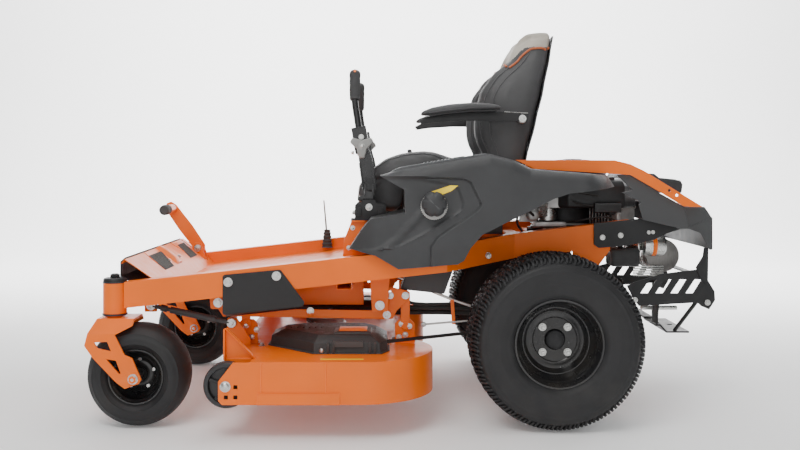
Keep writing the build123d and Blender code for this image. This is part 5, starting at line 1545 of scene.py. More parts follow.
def belt_covers():
    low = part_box("belt_covers")[0].z
    right_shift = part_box("belt_covers")[0].y - (CENTRE_Y - 0.565)
    for side in SIDES:
        shape = gather(belt_cover())
        knobs = gather([
            [pillar(here(x, y, z), here(x, y, z + 0.011), 0.009, 0.002, 20),
            hexagon(here(x, y, z + 0.009), here(x, y, z + 0.014), 0.010)]
            for x, y, z in ((0.455, 0.350, low + 0.004), (0.076, 0.430, low + 0.004),
            (0.282, 0.557, low + 0.004))
        ])
        window = box((0.140, 0.410, low + 0.0610), (0.230, 0.495, low + 0.0626), 0.0005)
        if side == "right":
            for s in (shape, knobs, window):
                moved(mirrored(s), (0, right_shift, 0))
        stands = ["belt_covers"] if side == "left" else ()
        make(f"{side}_belt_cover", shape, COVER_PLASTIC, "deck", stands, radians(30))
        make(f"{side}_cover_knobs", knobs, ZINC, "deck")
        make(f"{side}_cover_window", window, PAINT, "deck")


def deck_details():
    """Fasteners, seams, edging and the marker strip of the deck."""
    y_face = PIVOT["left_gauge_spin"].y + 0.031 - CENTRE_Y
    gx, gz = PIVOT["left_gauge_spin"].x, PIVOT["left_gauge_spin"].z
    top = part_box("belt_covers")[0].z
    steel, orange = [], []
    axle_end = [
        (0.0165, 0.0), (0.0165, 0.0022), (0.0150, 0.0028), (0.0125, 0.0034), (0.0118, 0.008),
        (0.007, 0.0112),
        (0, 0.0122),
    ]
    steel.append(lathe(axle_end, here(gx, y_face, gz), (0, 1, 0), 32))
    for x, y in ((0.490, 0.42), (0.052, 0.30), (0.10, 0.240), (0.33, 0.225)):
        steel += bolt(here(x, y, top - 0.0004), (0, 0, 1), 0.013, 0.011)
    for x, z in ((0.505, 0.288), (0.541, 0.302), (0.553, 0.276), (0.523, 0.262)):
        steel += bolt(here(x + 0.008, 0.374 if z > 0.285 else 0.368, z), (0, 1, 0), 0.012, 0.010)
    for x, z in ((0.000, 0.300), (0.026, 0.306), (0.013, 0.270), (0.034, 0.262)):
        steel += bolt(here(x, 0.374 if x < 0.02 and z > 0.28 else 0.368, z), (0, 1, 0), 0.012, 0.010)
    orange.append(pipe([here(0.457, y_face + 0.0004, 0.148), here(0.457, y_face + 0.0004, 0.240)], 0.0016,
        8, 1))
    orange.append(pipe([here(0.260, y_face + 0.0004, 0.148), here(0.260, y_face + 0.0004, 0.240)], 0.0016,
        8, 1))
    x0, x1 = 0.217, 0.469
    weld = [here(x0 + (x1 - x0) * i / 9, y_face + 0.0022 + 0.0006 * (i % 2), 0.1475) for i in range(10)]
    orange.append(pipe(weld, 0.0016, 8, 2))
    make("deck_bolts", steel, ZINC, "deck")
    make("deck_seams", orange, PAINT, "deck")
    marker = box((0.147, 0.640, top - 0.0002), (0.280, 0.652, top + 0.0012), 0.0003)
    make("deck_marker", marker, YELLOW, "deck")


def gauge_wheels():
    """Anti-scalp rollers: moulded tread, five-spoked web and hub."""
    for side in SIDES:
        low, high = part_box(f"{side}_gauge_wheel")
        centre = (low + high) / 2
        radius, half = (high.z - low.z) / 2, (high.y - low.y) / 2
        tread = [(radius - 0.014, -half), (radius - 0.004, -half), (radius, -half + 0.005)]
        for i in range(7):
            y = -half + 0.008 + (2 * half - 0.016) * i / 6
            tread += [(radius, y - 0.0015), (radius - (0.0012 if i % 2 else 0.0), y)]
        tread += [(radius, half - 0.005), (radius - 0.004, half), (radius - 0.014, half),
            (radius - 0.016, half - 0.003),
                  (radius - 0.017, 0), (radius - 0.016, -half + 0.003)]
        shapes = [lathe(tread, centre, (0, 1, 0), 72, closed=True)]
        shapes.append(lathe([(0.0085, -half), (0.019, -half), (0.021, -half + 0.003), (0.021, half - 0.003),
            (0.019, half), (0.0085, half)],
                            centre, (0, 1, 0), 36, closed=True))
        shapes.append(lathe([(0.020, -0.003), (radius - 0.016, -0.003), (radius - 0.016, 0.003),
            (0.020, 0.003)],
                            centre, (0, 1, 0), 60, closed=True))
        for k in range(5):
            a = radians(90 + 72 * k)
            way, across = Vector((cos(a), 0, sin(a))), Vector((-sin(a), 0, cos(a)))
            spoke = []
            for t, w, h in ((0.019, 0.006, half - 0.004), (0.037, 0.0045, half - 0.008),
                (radius - 0.015, 0.006, half - 0.005)):
                p = centre + way * t
                y = Vector((0, h, 0))
                spoke.append([p - across * w - y, p + across * w - y, p + across * w + y,
                    p - across * w + y])
            shapes.append(round_edges(loft(spoke), 0.0012, 2))
        make(f"{side}_roller", shapes, BLACK_PLASTIC, f"{side}_gauge",
            [f"{side}_gauge_wheel"])


# ---------------------------------------------------------------- engine bay
CRANK = PIVOT["clutch_pulley_spin"] - Vector((0, CENTRE_Y, 0))


def engine_cowl():
    """Blower housing: ducted shroud, screened fan intake and its clips."""
    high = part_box("engine_cowl")[1]
    x = CRANK.x - 0.020
    plan = [
        (-0.452, -0.150), (-0.452, 0.150), (-0.562, 0.238), (-0.758, 0.238), (-0.818, 0.150),
        (-0.818, -0.150),
        (-0.758, -0.238), (-0.562, -0.238),
    ]
    rise = high.z - 0.836
    middle = Vector((-0.635, 0.0))

    def level(scale, z):
        return [here(middle.x + (a - middle.x) * scale, middle.y + (b - middle.y) * scale, z) for a,
            b in plan]

    shroud = loft([level(0.985, 0.690), level(1.0, 0.700), level(1.0, 0.768), level(0.965, 0.784),
        level(0.90, 0.790)])
    shapes = [round_edges(shroud, 0.006, 3, radians(20))]
    shapes.append(lathe([(0.124, 0.780), (0.1220, 0.806 + rise), (0.117, 0.816 + rise),
        (0.111, 0.820 + rise),
                         (0.104, 0.818 + rise), (0.102, 0.800 + rise), (0.100, 0.788)],
                        here(x, 0, 0), (0, 0, 1), 96))
    for y in (-0.19, 0.19):
        shapes.append(box((-0.730, y - 0.022, 0.782), (-0.560, y + 0.022, 0.800), 0.005))
    for k in range(4):
        shapes.append(box((-0.552, -0.06 + 0.04 * k - 0.004, 0.786),
            (-0.470, -0.06 + 0.04 * k + 0.004, 0.794), 0.002))
    make("cowl", shapes, BLACK_PLASTIC, "chassis", ["engine_cowl"], radians(30))
    screen = [lathe([(0.0, 0.834), (0.030, 0.8335), (0.038, 0.830), (0.038, 0.826), (0.0, 0.826)],
        here(x, 0, rise), (0, 0, 1), 48)]
    for r in (0.050, 0.062, 0.074, 0.086, 0.098):
        z = 0.832 - 0.8 * (r - 0.038) ** 2 / 0.25 * 0.9
        screen.append(lathe([(r + 0.0022 * cos(a),
            z - 0.004 + 0.0022 * sin(a)) for a in (2 * pi * i / 8 for i in range(8))],
                            here(x, 0, rise), (0, 0, 1), 72, closed=True))
    for k in range(16):
        a = 2 * pi * k / 16
        screen.append(pipe([here(x + r * cos(a + 0.35 * t), r * sin(a + 0.35 * t),
            0.829 + rise - 0.010 * t * t)
                            for r, t in ((0.036, 0.0), (0.058, 0.35), (0.080, 0.7), (0.103, 1.0))], 0.0018,
                            6, 3))
    make("fan_screen", screen, BLACK_GLOSS, "chassis")
    fan = []
    for k in range(14):
        a = 2 * pi * k / 14
        fan.append(loft([[here(x + r * cos(a + s), r * sin(a + s), z) for s,
            z in ((0, 0.795), (0.05, 0.795), (0.13, 0.812 + rise), (0.08, 0.812 + rise))]
                         for r in (0.040, 0.070, 0.098)]))
    make("fan_blades", fan, BLACK_PLASTIC, "chassis")


def air_cleaner():
    """Filter box with a rounded lid, side clips and its intake snout."""
    side = [
        (-0.770, 0.792), (-0.778, 0.809), (-0.788, 0.8130), (-0.898, 0.8110), (-0.918, 0.7945),
        (-0.994, 0.7860), (-1.002, 0.7720),
        (-0.998, 0.740), (-0.842, 0.740), (-0.840, 0.790),
    ]
    shapes = [prism(side, -0.108, 0.108, "side", 0.006, 3)]
    for y in (-0.075, -0.025, 0.025, 0.075):
        shapes.append(pipe([here(-0.925, y, 0.7925), here(-0.960, y, 0.7890), here(-0.988, y, 0.7860)],
            0.0030, 8, 4))
    shapes.append(box((-0.90, 0.1065, 0.752), (-0.865, 0.1105, 0.794), 0.002))
    make("air_box", shapes, FENDER_PLASTIC, "chassis", ["air_cleaner"], radians(30))
    clips = [pipe([here(-0.882, 0.1105, 0.754), here(-0.882, 0.1135, 0.772), here(-0.882, 0.1105, 0.790)],
        0.002, 8, 4)]
    make("air_box_clips", clips, ZINC, "chassis")


def engine_sides():
    """Heads, manifolds, canister, starter, leads and fuel line on the engine's sides."""
    alloy, black, steel, hoses = [], [], [], []
    for s in (1, -1):
        way = Vector((cos(radians(135)), s * sin(radians(135)), 0))
        across = Vector((-way.y, way.x, 0))
        root = here(CRANK.x, 0, 0.655)
        for near, far, half, tall in ((0.140, 0.226, 0.062, 0.055), (0.226, 0.256, 0.056, 0.050)):
            rings = []
            for d, k in ((near, 1.0), (far - 0.006, 1.0), (far, 0.9)):
                p = root + way * d
                rings.append([p + across * half * a * k + Vector((0, 0, tall * b * k)) for a,
                    b in ((-1, -1), (1, -1), (1, 1), (-1, 1))])
            (alloy if far > 0.23 else black).append(round_edges(loft(rings), 0.006, 3))
        for i in range(7):
            d = 0.142 + 0.0125 * i
            p = root + way * d
            rings = [[p + way * e + across * 0.068 * a + Vector((0, 0, 0.061 * b)) for a,
                b in ((-1, -1), (1, -1), (1, 1), (-1, 1))]
                     for e in (0.0, 0.003)]
            alloy.append(round_edges(loft(rings), 0.001, 1))
        head = root + way * 0.257
        for a, b in ((-0.042, 0.036), (0.042, 0.036), (-0.042, -0.036), (0.042, -0.036)):
            steel.append(hexagon(head + across * a + Vector((0, 0, b)),
                head + across * a + Vector((0, 0, b)) + way * 0.006, 0.010))
        plug = root + way * 0.236 + across * (0.060 * -s) + Vector((0, 0, 0.018))
        hoses.append(pipe([plug, plug + across * (-0.03 * s) + Vector((0, 0, 0.02)),
            here(-0.60, s * 0.245, 0.705), here(-0.555, s * 0.215, 0.735)],
                          0.0036, 10, 8))
        black.append(pillar(plug, plug + across * (-0.035 * s), 0.0085, 0.002, 16))
        black.append(box((-0.742, s * 0.252 - 0.008, 0.676), (-0.648, s * 0.252 + 0.008, 0.708), 0.006, 3))
    for z in (0.612, 0.628):
        alloy.append(lathe([(0.128, z - 0.003), (0.138, z - 0.003), (0.138, z + 0.003), (0.128, z + 0.003)],
            here(CRANK.x, 0, 0), (0, 0, 1), 64, closed=True))
    for x, z in ring(8, 0.142):
        steel.append(hexagon(here(CRANK.x + x, z, 0.604), here(CRANK.x + x, z, 0.612), 0.012))
    steel.append(lathe([(0, 0.640), (0.024, 0.640), (0.031, 0.645), (0.031, 0.735), (0.027, 0.741),
        (0, 0.741)], here(-0.502, 0.150, 0), (0, 0, 1), 40))
    black.append(lathe([(0, 0.738), (0.020, 0.738), (0.020, 0.756), (0.012, 0.760), (0, 0.760)],
        here(-0.502, 0.150, 0), (0, 0, 1), 32))
    alloy.append(box((-0.560, 0.110, 0.624), (-0.450, 0.205, 0.640), 0.003))
    alloy.append(box((-0.545, 0.170, 0.690), (-0.478, 0.212, 0.728), 0.005))
    alloy.append(lathe([(0, 0.170), (0.021, 0.170), (0.021, 0.226), (0.017, 0.230), (0.010, 0.231),
        (0, 0.231)], here(-0.44, 0, 0.665), (0, 1, 0), 32))
    black.append(lathe([(0, 0.205), (0.013, 0.205), (0.013, 0.236), (0.0, 0.239)], here(-0.405, 0, 0.700),
        (0, 1, 0), 24))
    plate = [(-0.395, 0.640), (-0.395, 0.735), (-0.430, 0.742), (-0.462, 0.700), (-0.455, 0.640)]
    alloy.append(prism(plate, 0.186, 0.190, "side", 0.001))
    for x, z in ((-0.405, 0.725), (-0.430, 0.728), (-0.405, 0.700), (-0.425, 0.672), (-0.446, 0.655)):
        steel += bolt(here(x, 0.190, z), (0, 1, 0), 0.008, 0.006, height=0.004)
    hoses.append(pipe([here(-0.44, 0.228, 0.665), here(-0.42, 0.250, 0.690), here(-0.46, 0.258, 0.735),
        here(-0.53, 0.25, 0.752), here(-0.58, 0.232, 0.748)], 0.0048, 10, 8))
    hoses.append(pipe([here(-0.405, 0.236, 0.700), here(-0.385, 0.255, 0.690), here(-0.380, 0.250, 0.640),
        here(-0.40, 0.225, 0.610)], 0.0042, 10, 8))
    hoses.append(pipe([here(-0.510, 0.180, 0.756), here(-0.54, 0.215, 0.765), here(-0.60, 0.252, 0.745),
        here(-0.66, 0.272, 0.735)], 0.0032, 10, 8))
    hoses.append(pipe([here(-0.560, 0.212, 0.640), here(-0.60, 0.262, 0.650), here(-0.68, 0.276, 0.662),
        here(-0.74, 0.262, 0.640)], 0.0030, 10, 8))
    make("engine_heads", alloy, ALLOY, "chassis")
    make("engine_covers", black, BLACK_PLASTIC, "chassis")
    make("engine_bolts", steel, ZINC, "chassis")
    make("engine_leads", hoses, BELT, "chassis")
    coil = []
    for k in range(9):
        z = 0.664 + 0.006 * k
        coil.append(lathe([(0.0155 + 0.0016 * cos(a),
            z + 0.0016 * sin(a)) for a in (2 * pi * i / 8 for i in range(8))], here(-0.472, 0.236, 0),
            (0, 0, 1), 28, closed=True))
    make("governor_spring", coil, ZINC, "chassis")


def exhaust():
    """Silencer dressed with a ribbed heat shield, clamps and its oil filter below."""
    shapes, straps = [], []
    centre = here(-0.905, 0, 0.520)
    for y in (-0.15, -0.09, -0.03, 0.03, 0.09, 0.15):
        shapes.append(lathe([(0.0575, y - 0.012), (0.0605, y - 0.006), (0.0605, y + 0.006),
            (0.0575, y + 0.012)], centre, (0, 1, 0), 64, closed=True))
    for s in (1, -1):
        shapes.append(lathe([(0, 0.196), (0.030, 0.196), (0.045, 0.193), (0.058, 0.191), (0.0590, 0.184),
            (0.056, 0.183), (0.0, 0.189)],
                            centre, (0, s, 0), 64))
        straps.append(lathe([(0.0612, 0.120), (0.0625, 0.122), (0.0625, 0.134), (0.0612, 0.136)], centre,
            (0, s, 0), 64, closed=True))
        straps.append(box((-0.850, s * 0.128 - 0.007, 0.545), (-0.842, s * 0.128 + 0.007, 0.587), 0.001))
    make("muffler_shield", shapes, HOT_STEEL, "chassis")
    make("muffler_straps", straps, ZINC, "chassis")
    can = [lathe([(0, 0.0), (0.030, 0.001), (0.036, 0.004), (0.0375, 0.012), (0.0375, 0.068),
        (0.035, 0.074), (0.030, 0.078), (0.0, 0.078)],
                 here(-0.820, 0.236, 0.562), (-1, 0, 0), 48)]
    can += [pillar(here(-0.818, 0.236, 0.562), here(-0.780, 0.205, 0.566), 0.022, 0.003, 28)]
    can += [pillar(here(-0.820, 0.212, 0.338), here(-0.949, 0.212, 0.338), 0.0075, 0.002, 20)]
    for i in range(5):
        can.append(box((-0.903, 0.202 + 0.0005 * i, 0.4495 + 0.0078 * i),
            (-0.795, 0.2125, 0.4545 + 0.0078 * i), 0.002))
    make("oil_filter", can, ZINC, "chassis")
    band = lathe([(0.0378, 0.030), (0.0384, 0.031), (0.0384, 0.044), (0.0378, 0.045)],
        here(-0.820, 0.236, 0.562), (-1, 0, 0), 48, closed=True)
    make("oil_filter_band", band, PAINT, "chassis")
    canister = [box((-0.806, 0.180, 0.488), (-0.702, 0.268, 0.552), 0.018, 4)]
    canister.append(pipe([here(-0.745, 0.225, 0.548), here(-0.738, 0.228, 0.580),
        here(-0.700, 0.226, 0.600)], 0.009, 14, 6))
    make("vapour_canister", canister, BLACK_PLASTIC, "chassis")
    gusset = prism([(-0.560, 0.558), (-0.560, 0.535), (-0.646, 0.494), (-0.688, 0.552), (-0.688, 0.566)],
        0.318, 0.3235, "side", 0.001)
    make("rail_gusset", gusset, PAINT, "chassis")


# ---------------------------------------------------------------- frame and floor
def frame_hardware():
    """Flange bolts of the step plates and rear brackets, and the casters' dust caps."""
    step_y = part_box("side_steps")[1].y - CENTRE_Y
    caster = PIVOT["left_caster_swivel"]
    guard_y = 0.331
    bolts, caps = [], []
    for s in (1, -1):
        for x, z in ((0.587, 0.464), (0.431, 0.484)):
            bolts += bolt(here(x, s * step_y, z), (0, s, 0), 0.0165, 0.0150, height=0.0075)
        for x, z in ((-0.660, 0.595), (-0.722, 0.602)):
            bolts += bolt(here(x, s * guard_y, z), (0, s, 0), 0.0120, 0.0095, height=0.0065)
        cx, cy = caster.x, s * (caster.y - CENTRE_Y)
        caps.append(lathe([(0.0160, 0.4755), (0.0300, 0.4762), (0.0350, 0.4745), (0.0372, 0.4705),
            (0.0378, 0.464), (0.0392, 0.4638),
                           (0.0392, 0.4600), (0.0360, 0.4600), (0.016, 0.4635)], here(cx, cy, 0), (0, 0, 1),
                           56, closed=True))
        caps.append(lathe([(0.0245, 0.3560), (0.0400, 0.3550), (0.0400, 0.3600), (0.0385, 0.3605),
            (0.0375, 0.362), (0.0245, 0.362)],
                          here(cx, cy, 0), (0, 0, 1), 56, closed=True))
        bolts += bolt(here(-0.263, s * 0.412, 0.541), (0.5, s * 0.86, 0), 0.012, 0.011)
    make("frame_bolts", bolts, ZINC, "chassis", ["frame_hardware"])
    make("caster_caps", caps, BLACK_PLASTIC, "chassis")


def floor_details():
    """Anti-slip strips, the raised hump and seam on the toe board, and floor fasteners."""
    top, low = Vector((0.936, 0.533)), Vector((0.850, 0.474))
    strips, orange, bolts = [], [], []
    way = (low - top).normalized()
    out = Vector((way.y, -way.x))

    def on_board(t, y, lift):
        p = top.lerp(low, t) + out * lift
        return here(p.x, y, p.y)

    for top_ys, low_ys in (((0.025, 0.216), (0.111, 0.237)), ((-0.370, -0.259), (-0.312, -0.192))):
        ring_low = [on_board(0.22, top_ys[0], 0.0), on_board(0.22, top_ys[1], 0.0),
            on_board(0.99, low_ys[1], 0.0),
                    on_board(0.99, low_ys[0], 0.0)]
        strips.append(loft([ring_low, [p + Vector((out.x, 0, out.y)) * 0.0022 for p in ring_low]]))
    for s in (1, -1):
        bolts += bolt(on_board(0.72, s * 0.085, 0.0), (out.x, 0, out.y), 0.011, 0.009, height=0.005)
    hump = []
    for t, lift, half in ((0.0, 0.001, 0.036), (0.03, 0.012, 0.034), (0.35, 0.016, 0.037),
        (0.75, 0.013, 0.041), (0.97, 0.006, 0.043), (1.0, 0.001, 0.044)):
        hump.append([on_board(t, y * half, lift * (1 - abs(y) ** 3)) for y in (-1, -0.85, -0.5, 0, 0.5,
            0.85, 1)] +
                    [on_board(t, y * half, -0.0005) for y in (0.9, 0, -0.9)])
    orange.append(loft(hump))
    orange.append(pipe([on_board(0.02, 0.205, 0.0004), on_board(0.4, 0.222, 0.0004),
        on_board(0.98, 0.230, 0.0004)], 0.0014, 8, 4))
    orange.append(pipe([on_board(0.02, -0.205, 0.0004), on_board(0.4, -0.222, 0.0004),
        on_board(0.98, -0.230, 0.0004)], 0.0014, 8, 4))
    make("floor_grips", strips, GRIT, "chassis")
    make("toe_hump", orange, PAINT, "chassis")
    make("floor_bolts", bolts, ZINC, "chassis")


def lift_details():
    """Nuts and washers of the lift linkage, the pedal's rubber and strut ends."""
    groups = {"rear_cranks": [], "front_cranks": [], "pedal": [], "lift_bars": []}
    for joint, body in (("rear_crank_turn", "rear_cranks"), ("front_crank_turn", "front_cranks")):
        p = PIVOT[joint] - Vector((0, CENTRE_Y, 0))
        for s in (1, -1):
            groups[body] += bolt(here(p.x, s * 0.4195, p.z), (0, s, 0), 0.019, 0.016, height=0.010)
            groups[body] += bolt(here(p.x - 0.0346, s * 0.382, p.z + 0.028), (0, s, 0), 0.014, 0.012,
                height=0.008)
            if body == "rear_cranks":
                groups[body] += bolt(here(p.x - 0.0856, s * 0.3836, p.z + 0.0278), (0, s, 0), 0.016, 0.0125,
                    height=0.006)
    bar = PIVOT["link_bar_turn"] - Vector((0, CENTRE_Y, 0))
    for s in (1, -1):
        groups["lift_bars"] += bolt(here(bar.x, s * 0.390, bar.z), (0, s, 0), 0.014, 0.0135, height=0.006)
        groups["lift_bars"] += bolt(here(0.331, s * 0.393, 0.354), (0, s, 0), 0.0155, 0.0125, height=0.007)
    pedal = PIVOT["pedal_swing"]
    for s in (1, -1):
        groups["pedal"] += bolt(pedal + Vector((0, s * 0.0218, 0)), (0, s, 0), 0.003, 0.0145, height=0.0005)
    for body, shapes in groups.items():
        make(f"{body}_nuts", shapes, ZINC, body)
    peg = pedal + Vector((0.110, 0.0, 0.162))
    profile = [(0.0, -0.157), (0.0165, -0.157), (0.0200, -0.153)]
    for i in range(4):
        y = -0.146 + 0.0115 * i
        profile += [(0.0208, y), (0.0208, y + 0.006), (0.0196, y + 0.008), (0.0196, y + 0.0095)]
    profile += [(0.0200, -0.100), (0.0190, -0.0992), (0.0, -0.0992)]
    make("pedal_rubber", lathe([(r, -y) for r, y in profile], peg, (0, 1, 0), 40), GRIP, "pedal")
    head = here(pedal.x, pedal.y - CENTRE_Y + 0.029, pedal.z)
    make("pedal_bolt", bolt(head, (0, 1, 0), 0.0208, 0.0150, height=0.0086), ZINC, "chassis")
    strut = PIVOT["strut_swing"] - Vector((0, CENTRE_Y, 0))
    ends = []
    for s in (1, -1):
        for x, z in ((strut.x, strut.z), (0.592, 0.316)):
            ends.append(lathe([(0.0075, -0.0065), (0.0145, -0.0065), (0.0158, -0.004), (0.0158, 0.004),
                (0.0145, 0.0065), (0.0075, 0.0065)],
                              here(x, s * 0.409, z), (0, 1, 0), 32, closed=True))
            ends.append(hexagon(here(x, s * 0.4148, z), here(x, s * 0.4220, z), 0.014))
    make("strut_eyes", ends, ZINC, "struts")


def under_seat():
    """Hydraulic pipes, the tank's underside and rods between the rails."""
    grey = [prism([(0.012, 0.470), (0.030, 0.420), (-0.120, 0.404), (-0.150, 0.486), (-0.100, 0.520),
        (0.020, 0.500)], 0.255, 0.352, "side", 0.010, 3)]
    make("reservoir", grey, GREY_PAINT, "chassis")
    black = [
        pipe([here(0.075, 0.300, 0.352), here(-0.080, 0.300, 0.352), here(-0.220, 0.296, 0.350),
        here(-0.390, 0.288, 0.345)], 0.0085, 14, 6),
        pipe([here(0.075, 0.262, 0.330), here(-0.100, 0.262, 0.330), here(-0.250, 0.270, 0.328),
        here(-0.390, 0.280, 0.322)], 0.0085, 14, 6),
        pipe([here(0.010, 0.330, 0.420), here(0.015, 0.338, 0.395), here(-0.012, 0.335, 0.372),
        here(-0.100, 0.318, 0.366), here(-0.380, 0.300, 0.372)], 0.0055, 12, 8),
    ]
    make("hydraulic_lines", black, BELT, "chassis")
    rods = [
        pipe([here(-0.050, 0.352, 0.302), here(-0.240, 0.352, 0.318)], 0.0035, 10, 1),
        pipe([here(0.060, 0.340, 0.470), here(-0.130, 0.345, 0.392), here(-0.235, 0.350, 0.356)], 0.0050,
        10, 4),
        prism([(-0.140, 0.386), (-0.152, 0.386), (-0.157, 0.303), (-0.145, 0.303)], 0.350, 0.354, "side",
        0.001),
    ]
    ends = [lathe([(0, -0.009), (0.007, -0.007), (0.009, 0), (0.007, 0.007), (0, 0.009)], here(x, 0.352, z),
        (0, 1, 0), 20)
            for x, z in ((-0.050, 0.302), (-0.240, 0.318), (-0.235, 0.356))]
    make("control_rods", rods[:2] + ends, STEEL, "chassis")
    make("rod_bracket", [rods[2]], PAINT, "chassis")


def guard_details():
    """Bolts of the tail guard and bumper, and of the tail post brackets."""
    steel = []
    for s in (1, -1):
        for x, z in ((-0.783, 0.375), (-1.032, 0.367)):
            steel += bolt(here(x, s * 0.2830 if x > -1 else s * 0.289, z), (0, s, 0), 0.011, 0.010,
                height=0.005)
        for x, z in ((-0.818, 0.612), (-0.832, 0.613)):
            steel += bolt(here(x, s * 0.331, z), (0, s, 0), 0.008, 0.0068, height=0.005)
        steel += bolt(here(-0.425, s * 0.330, 0.841), (0, 0, 1), 0.013, 0.011)
    make("guard_bolts", steel, ZINC, "chassis")


def console_controls():
    """Throttle grip and the blade clutch's pull knob on the right console."""
    low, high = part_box("throttle_lever")
    y = (low.y + high.y) / 2
    stem = pipe([(low.x + 0.004, y, low.z + 0.001), (high.x - 0.010, y, high.z - 0.026)], 0.0036, 12, 1)
    top = Vector((high.x - 0.0115, y, high.z - 0.026))
    grip = lathe([(0, 0), (0.0065, 0.0005), (0.0085, 0.004), (0.0096, 0.013), (0.0090, 0.021),
        (0.0055, 0.0248), (0, 0.0256)], top, (0.27, 0, 1), 32)
    make("throttle_grip", [stem, grip], GRIP, "throttle", ["throttle_lever"])
    low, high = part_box("pto_knob")
    centre = Vector(((low.x + high.x) / 2, (low.y + high.y) / 2, 0))
    radius = (high.x - low.x) / 2
    profile = [(0, low.z), (0.0078, low.z), (0.0078, high.z - 0.021), (radius * 0.7, high.z - 0.0195),
        (radius * 0.96, high.z - 0.014),
               (radius, high.z - 0.009), (radius * 0.96, high.z - 0.0035), (radius * 0.8, high.z - 0.0008),
               (0, high.z - 0.0002)]
    make("clutch_knob", lathe(profile, centre, (0, 0, 1), 40), BLACK_PLASTIC, "pto_knob",
        ["pto_knob"])


# ---------------------------------------------------------------- rear and chute
def chute_ribs():
    """Hinge springs of the side discharge flap."""
    low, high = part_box("discharge_chute")
    pivot = PIVOT["chute_fold"]
    springs = []
    for x in (low.x + 0.09, high.x - 0.09):
        for i in range(7):
            at = Vector((x + 0.0052 * i - 0.016, pivot.y, pivot.z))
            springs.append(lathe([(0.0105 + 0.0018 * cos(a),
                0.0018 * sin(a)) for a in (2 * pi * k / 8 for k in range(8))], at, (1, 0, 0), 24,
                closed=True))
    make("chute_springs", springs, ZINC, "chute")


# ---------------------------------------------------------------- deck drive belt
def drive_belt():
    """The belt from the clutch pulley to the spindles."""
    low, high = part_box("deck_belt")
    corners = [here(*CRANK)]
    for name in ("left_spindle", "centre_spindle", "right_spindle"):
        corner_low, corner_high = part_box(name)
        corners.append((corner_low + corner_high) / 2)
    outer = corners[0].x - low.x - 0.0002
    inner = outer - 0.0075
    level = (low.z + high.z) / 2
    section = [(inner, -0.0038), (inner, 0.0038), (outer - 0.0014, 0.0059), (outer, 0.0050),
        (outer, -0.0050), (outer - 0.0014, -0.0059)]
    turns = []
    for a, b in zip(corners, corners[1:] + corners[:1]):
        way = (b - a).to_2d().normalized()
        turns.append(atan2(way.x, -way.y))
    rings = []
    for i, corner in enumerate(corners):
        start, end = turns[i - 1], turns[i]
        if end > start:
            end -= 2 * pi
        following = corners[(i + 1) % len(corners)]
        spots = [(corner, start + (end - start) * k / 20) for k in range(21)]
        spots += [(corner.lerp(following, k / 30), end) for k in range(1, 30)]
        for at, angle in spots:
            rings.append([(at.x + r * cos(angle), at.y + r * sin(angle), level + z) for r, z in section])
    belt = add_piece("drive_belt", loft(rings, closed=True), radians(30))
    belt.data.materials.append(BELT)
    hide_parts("deck_belt")
    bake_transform(belt)


# ---------------------------------------------------------------- finishes of the carried-over CAD
FINISHES = {
    "main_frame": PAINT, "cross_members": PAINT, "floor_pan": PAINT, "engine_guard": PAINT,
    "deck_shell": PAINT,
    "lift_pedal": PAINT, "front_cranks": PAINT, "rear_cranks": PAINT, "lift_bars": PAINT,
    "toe_cover": BLACK_PLASTIC, "discharge_chute": BLACK_PLASTIC, "side_steps": CHARCOAL,
    "seat_base": CHARCOAL,
    "seat_plate": CHARCOAL, "rear_bumper": GREY_PAINT, "rear_guard": CHARCOAL, "engine_block": BLACK_CAST,
    "muffler": HOT_STEEL, "transaxles": ALLOY, "spindle_housings": ALLOY, "fuel_tank": TANK,
    "engine_pulley": STEEL, "front_struts": GREY_PAINT,
    "left_spindle": STEEL, "centre_spindle": STEEL, "right_spindle": STEEL,
    "left_caster_fork": PAINT, "right_caster_fork": PAINT,
}


def dress(name, material, width=0.0011):
    """Finish and eased edges for a CAD node that shows as it is."""
    piece = NODES[name]
    mesh = piece.data
    mesh.materials.clear()
    mesh.materials.append(material)
    if "custom_normal" in mesh.attributes:
        mesh.attributes.remove(mesh.attributes["custom_normal"])
    for face in mesh.polygons:
        face.use_smooth = True
    weld = piece.modifiers.new("weld", "WELD")
    weld.merge_threshold = 1e-5
    flat = piece.modifiers.new("flat_faces", "DECIMATE")
    flat.decimate_type = "DISSOLVE"
    flat.angle_limit = radians(0.6)
    edges = piece.modifiers.new("edges", "BEVEL")
    edges.width = width
    edges.segments = 2
    edges.limit_method = "ANGLE"
    edges.angle_limit = radians(30)
    edges.use_clamp_overlap = False
    edges.harden_normals = False
    normals = piece.modifiers.new("normals", "WEIGHTED_NORMAL")
    normals.keep_sharp = False


def dress_cad():
    for name, material in FINISHES.items():
        dress(name, material)


# ---------------------------------------------------------------- camera, light and floor
CAMERA_PLACE = (0.068, 3.635, 0.842)
LENS_MM = 43.6
SENSOR_MM = 36.0
SHIFT = (0.01375, -0.075)     # the photograph's framing


def set_camera():
    data = bpy.data.cameras.new("camera")
    data.lens = LENS_MM
    data.sensor_width = SENSOR_MM
    data.shift_x, data.shift_y = SHIFT
    camera = bpy.data.objects.new("camera", data)
    camera.location = here(*CAMERA_PLACE)
    camera.rotation_euler = (radians(90), 0, radians(180))
    bpy.context.scene.collection.objects.link(camera)
    bpy.context.scene.camera = camera


def area_light(name, place, aim, size, power, tint=(1, 1, 1)):
    data = bpy.data.lights.new(name, "AREA")
    data.shape = "RECTANGLE"
    data.size, data.size_y = size
    data.energy = power
    data.color = tint
    lamp = bpy.data.objects.new(name, data)
    lamp.location = place
    lamp.rotation_euler = (Vector(aim) - Vector(place)).to_track_quat("-Z", "Y").to_euler()
    bpy.context.scene.collection.objects.link(lamp)


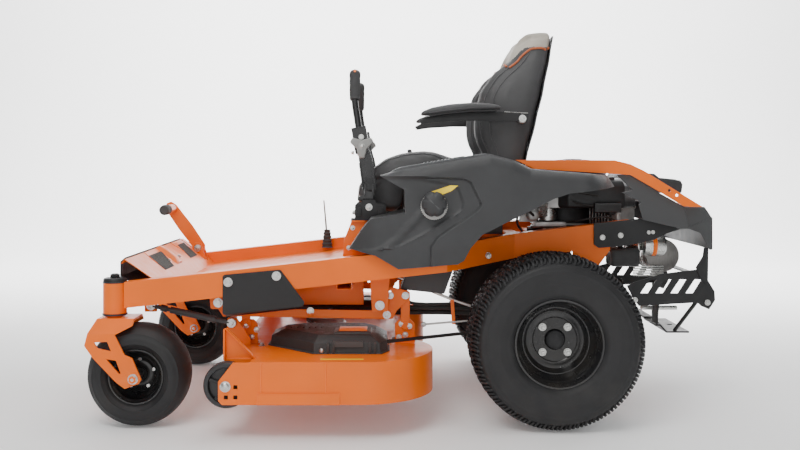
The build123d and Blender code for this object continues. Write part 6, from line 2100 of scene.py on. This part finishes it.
def set_light():
    world = bpy.data.worlds.new("studio")
    bpy.context.scene.world = world
    world.use_nodes = True
    backdrop = world.node_tree.nodes["Background"]
    backdrop.inputs["Color"].default_value = (1, 1, 1, 1)
    backdrop.inputs["Strength"].default_value = 0.33
    area_light("key", (1.2, 2.8, 3.6), (0, 0.2, 0.5), (2.4, 1.6), 85, (1, 0.985, 0.96))
    area_light("overhead", (-0.4, 0.0, 4.4), (0, 0, 0.5), (4.0, 2.5), 80)
    area_light("fill", (0.3, 5.2, 1.5), (0, 0, 0.5), (5.0, 2.6), 58)
    area_light("rim", (-3.4, -1.8, 2.4), (0, 0, 0.6), (2.0, 2.0), 45, (0.96, 0.98, 1))
    area_light("backdrop_wash", (0, -3.0, 3.6), (0, -6.0, 1.0), (8.0, 1.5), 900)


def set_floor():
    """Pale sweep: a floor that curves up into a backdrop behind the machine, glowing with painted light."""
    material, tree, shader = new_material("studio_floor")
    place = surface_place(tree)
    drift = spread(tree, grain(tree, place, 0.8), 0.3, 0.7, 0.0, 1.0)
    tree.links.new(tinted(tree, drift, (0.93, 0.93, 0.93), (0.96, 0.96, 0.96)), shader.inputs["Base Color"])
    shader.inputs["Roughness"].default_value = 0.8
    split = node(tree, "ShaderNodeSeparateXYZ")
    tree.links.new(place, split.inputs["Vector"])
    # Painted light: the floor emits light, faint near the machine and stronger towards the backdrop. This
    # brightens the floor and lights the machine's underside from below.
    painted_floor_glow = spread(tree, split.outputs["Y"], -1.2, -4.0, 0.10, 0.60)
    tree.links.new(painted_floor_glow, shader.inputs["Emission Strength"])
    shader.inputs["Emission Color"].default_value = (1, 1, 1, 1)
    half, front, back, bend, top = 14.0, 10.0, -4.5, 2.5, 9.0
    line = [(front, 0.0), (back, 0.0)]
    line += [(back - bend * sin(a), bend * (1 - cos(a))) for a in (radians(6 * i) for i in range(1, 16))]
    line.append((back - bend, top))
    points = [(x, y, z) for y, z in line for x in (-half, half)]
    faces = [(2 * i, 2 * i + 1, 2 * i + 3, 2 * i + 2) for i in range(len(line) - 1)]
    mesh = bpy.data.meshes.new("floor")
    mesh.from_pydata(points, [], faces)
    for face in mesh.polygons:
        face.use_smooth = True
    floor = bpy.data.objects.new("floor", mesh)
    mesh.materials.append(material)
    bpy.context.scene.collection.objects.link(floor)


# ---------------------------------------------------------------- the whole machine
for side in SIDES:
    drive_tyre(side)
    drive_rim(side)
    drive_hub(side)
    caster_wheel(side)
    caster_hardware(side)
    side_cover(side)
fuel_cap()
fuel_sticker()
seat_back()
seat_cushion()
armrests()
levers()
lever_uprights()
brake_lever()
belt_covers()
deck_details()
gauge_wheels()
engine_cowl()
air_cleaner()
engine_sides()
exhaust()
frame_hardware()
floor_details()
lift_details()
under_seat()
drive_belt()
guard_details()
console_controls()
chute_ribs()
dress_cad()
set_camera()
set_light()
set_floor()
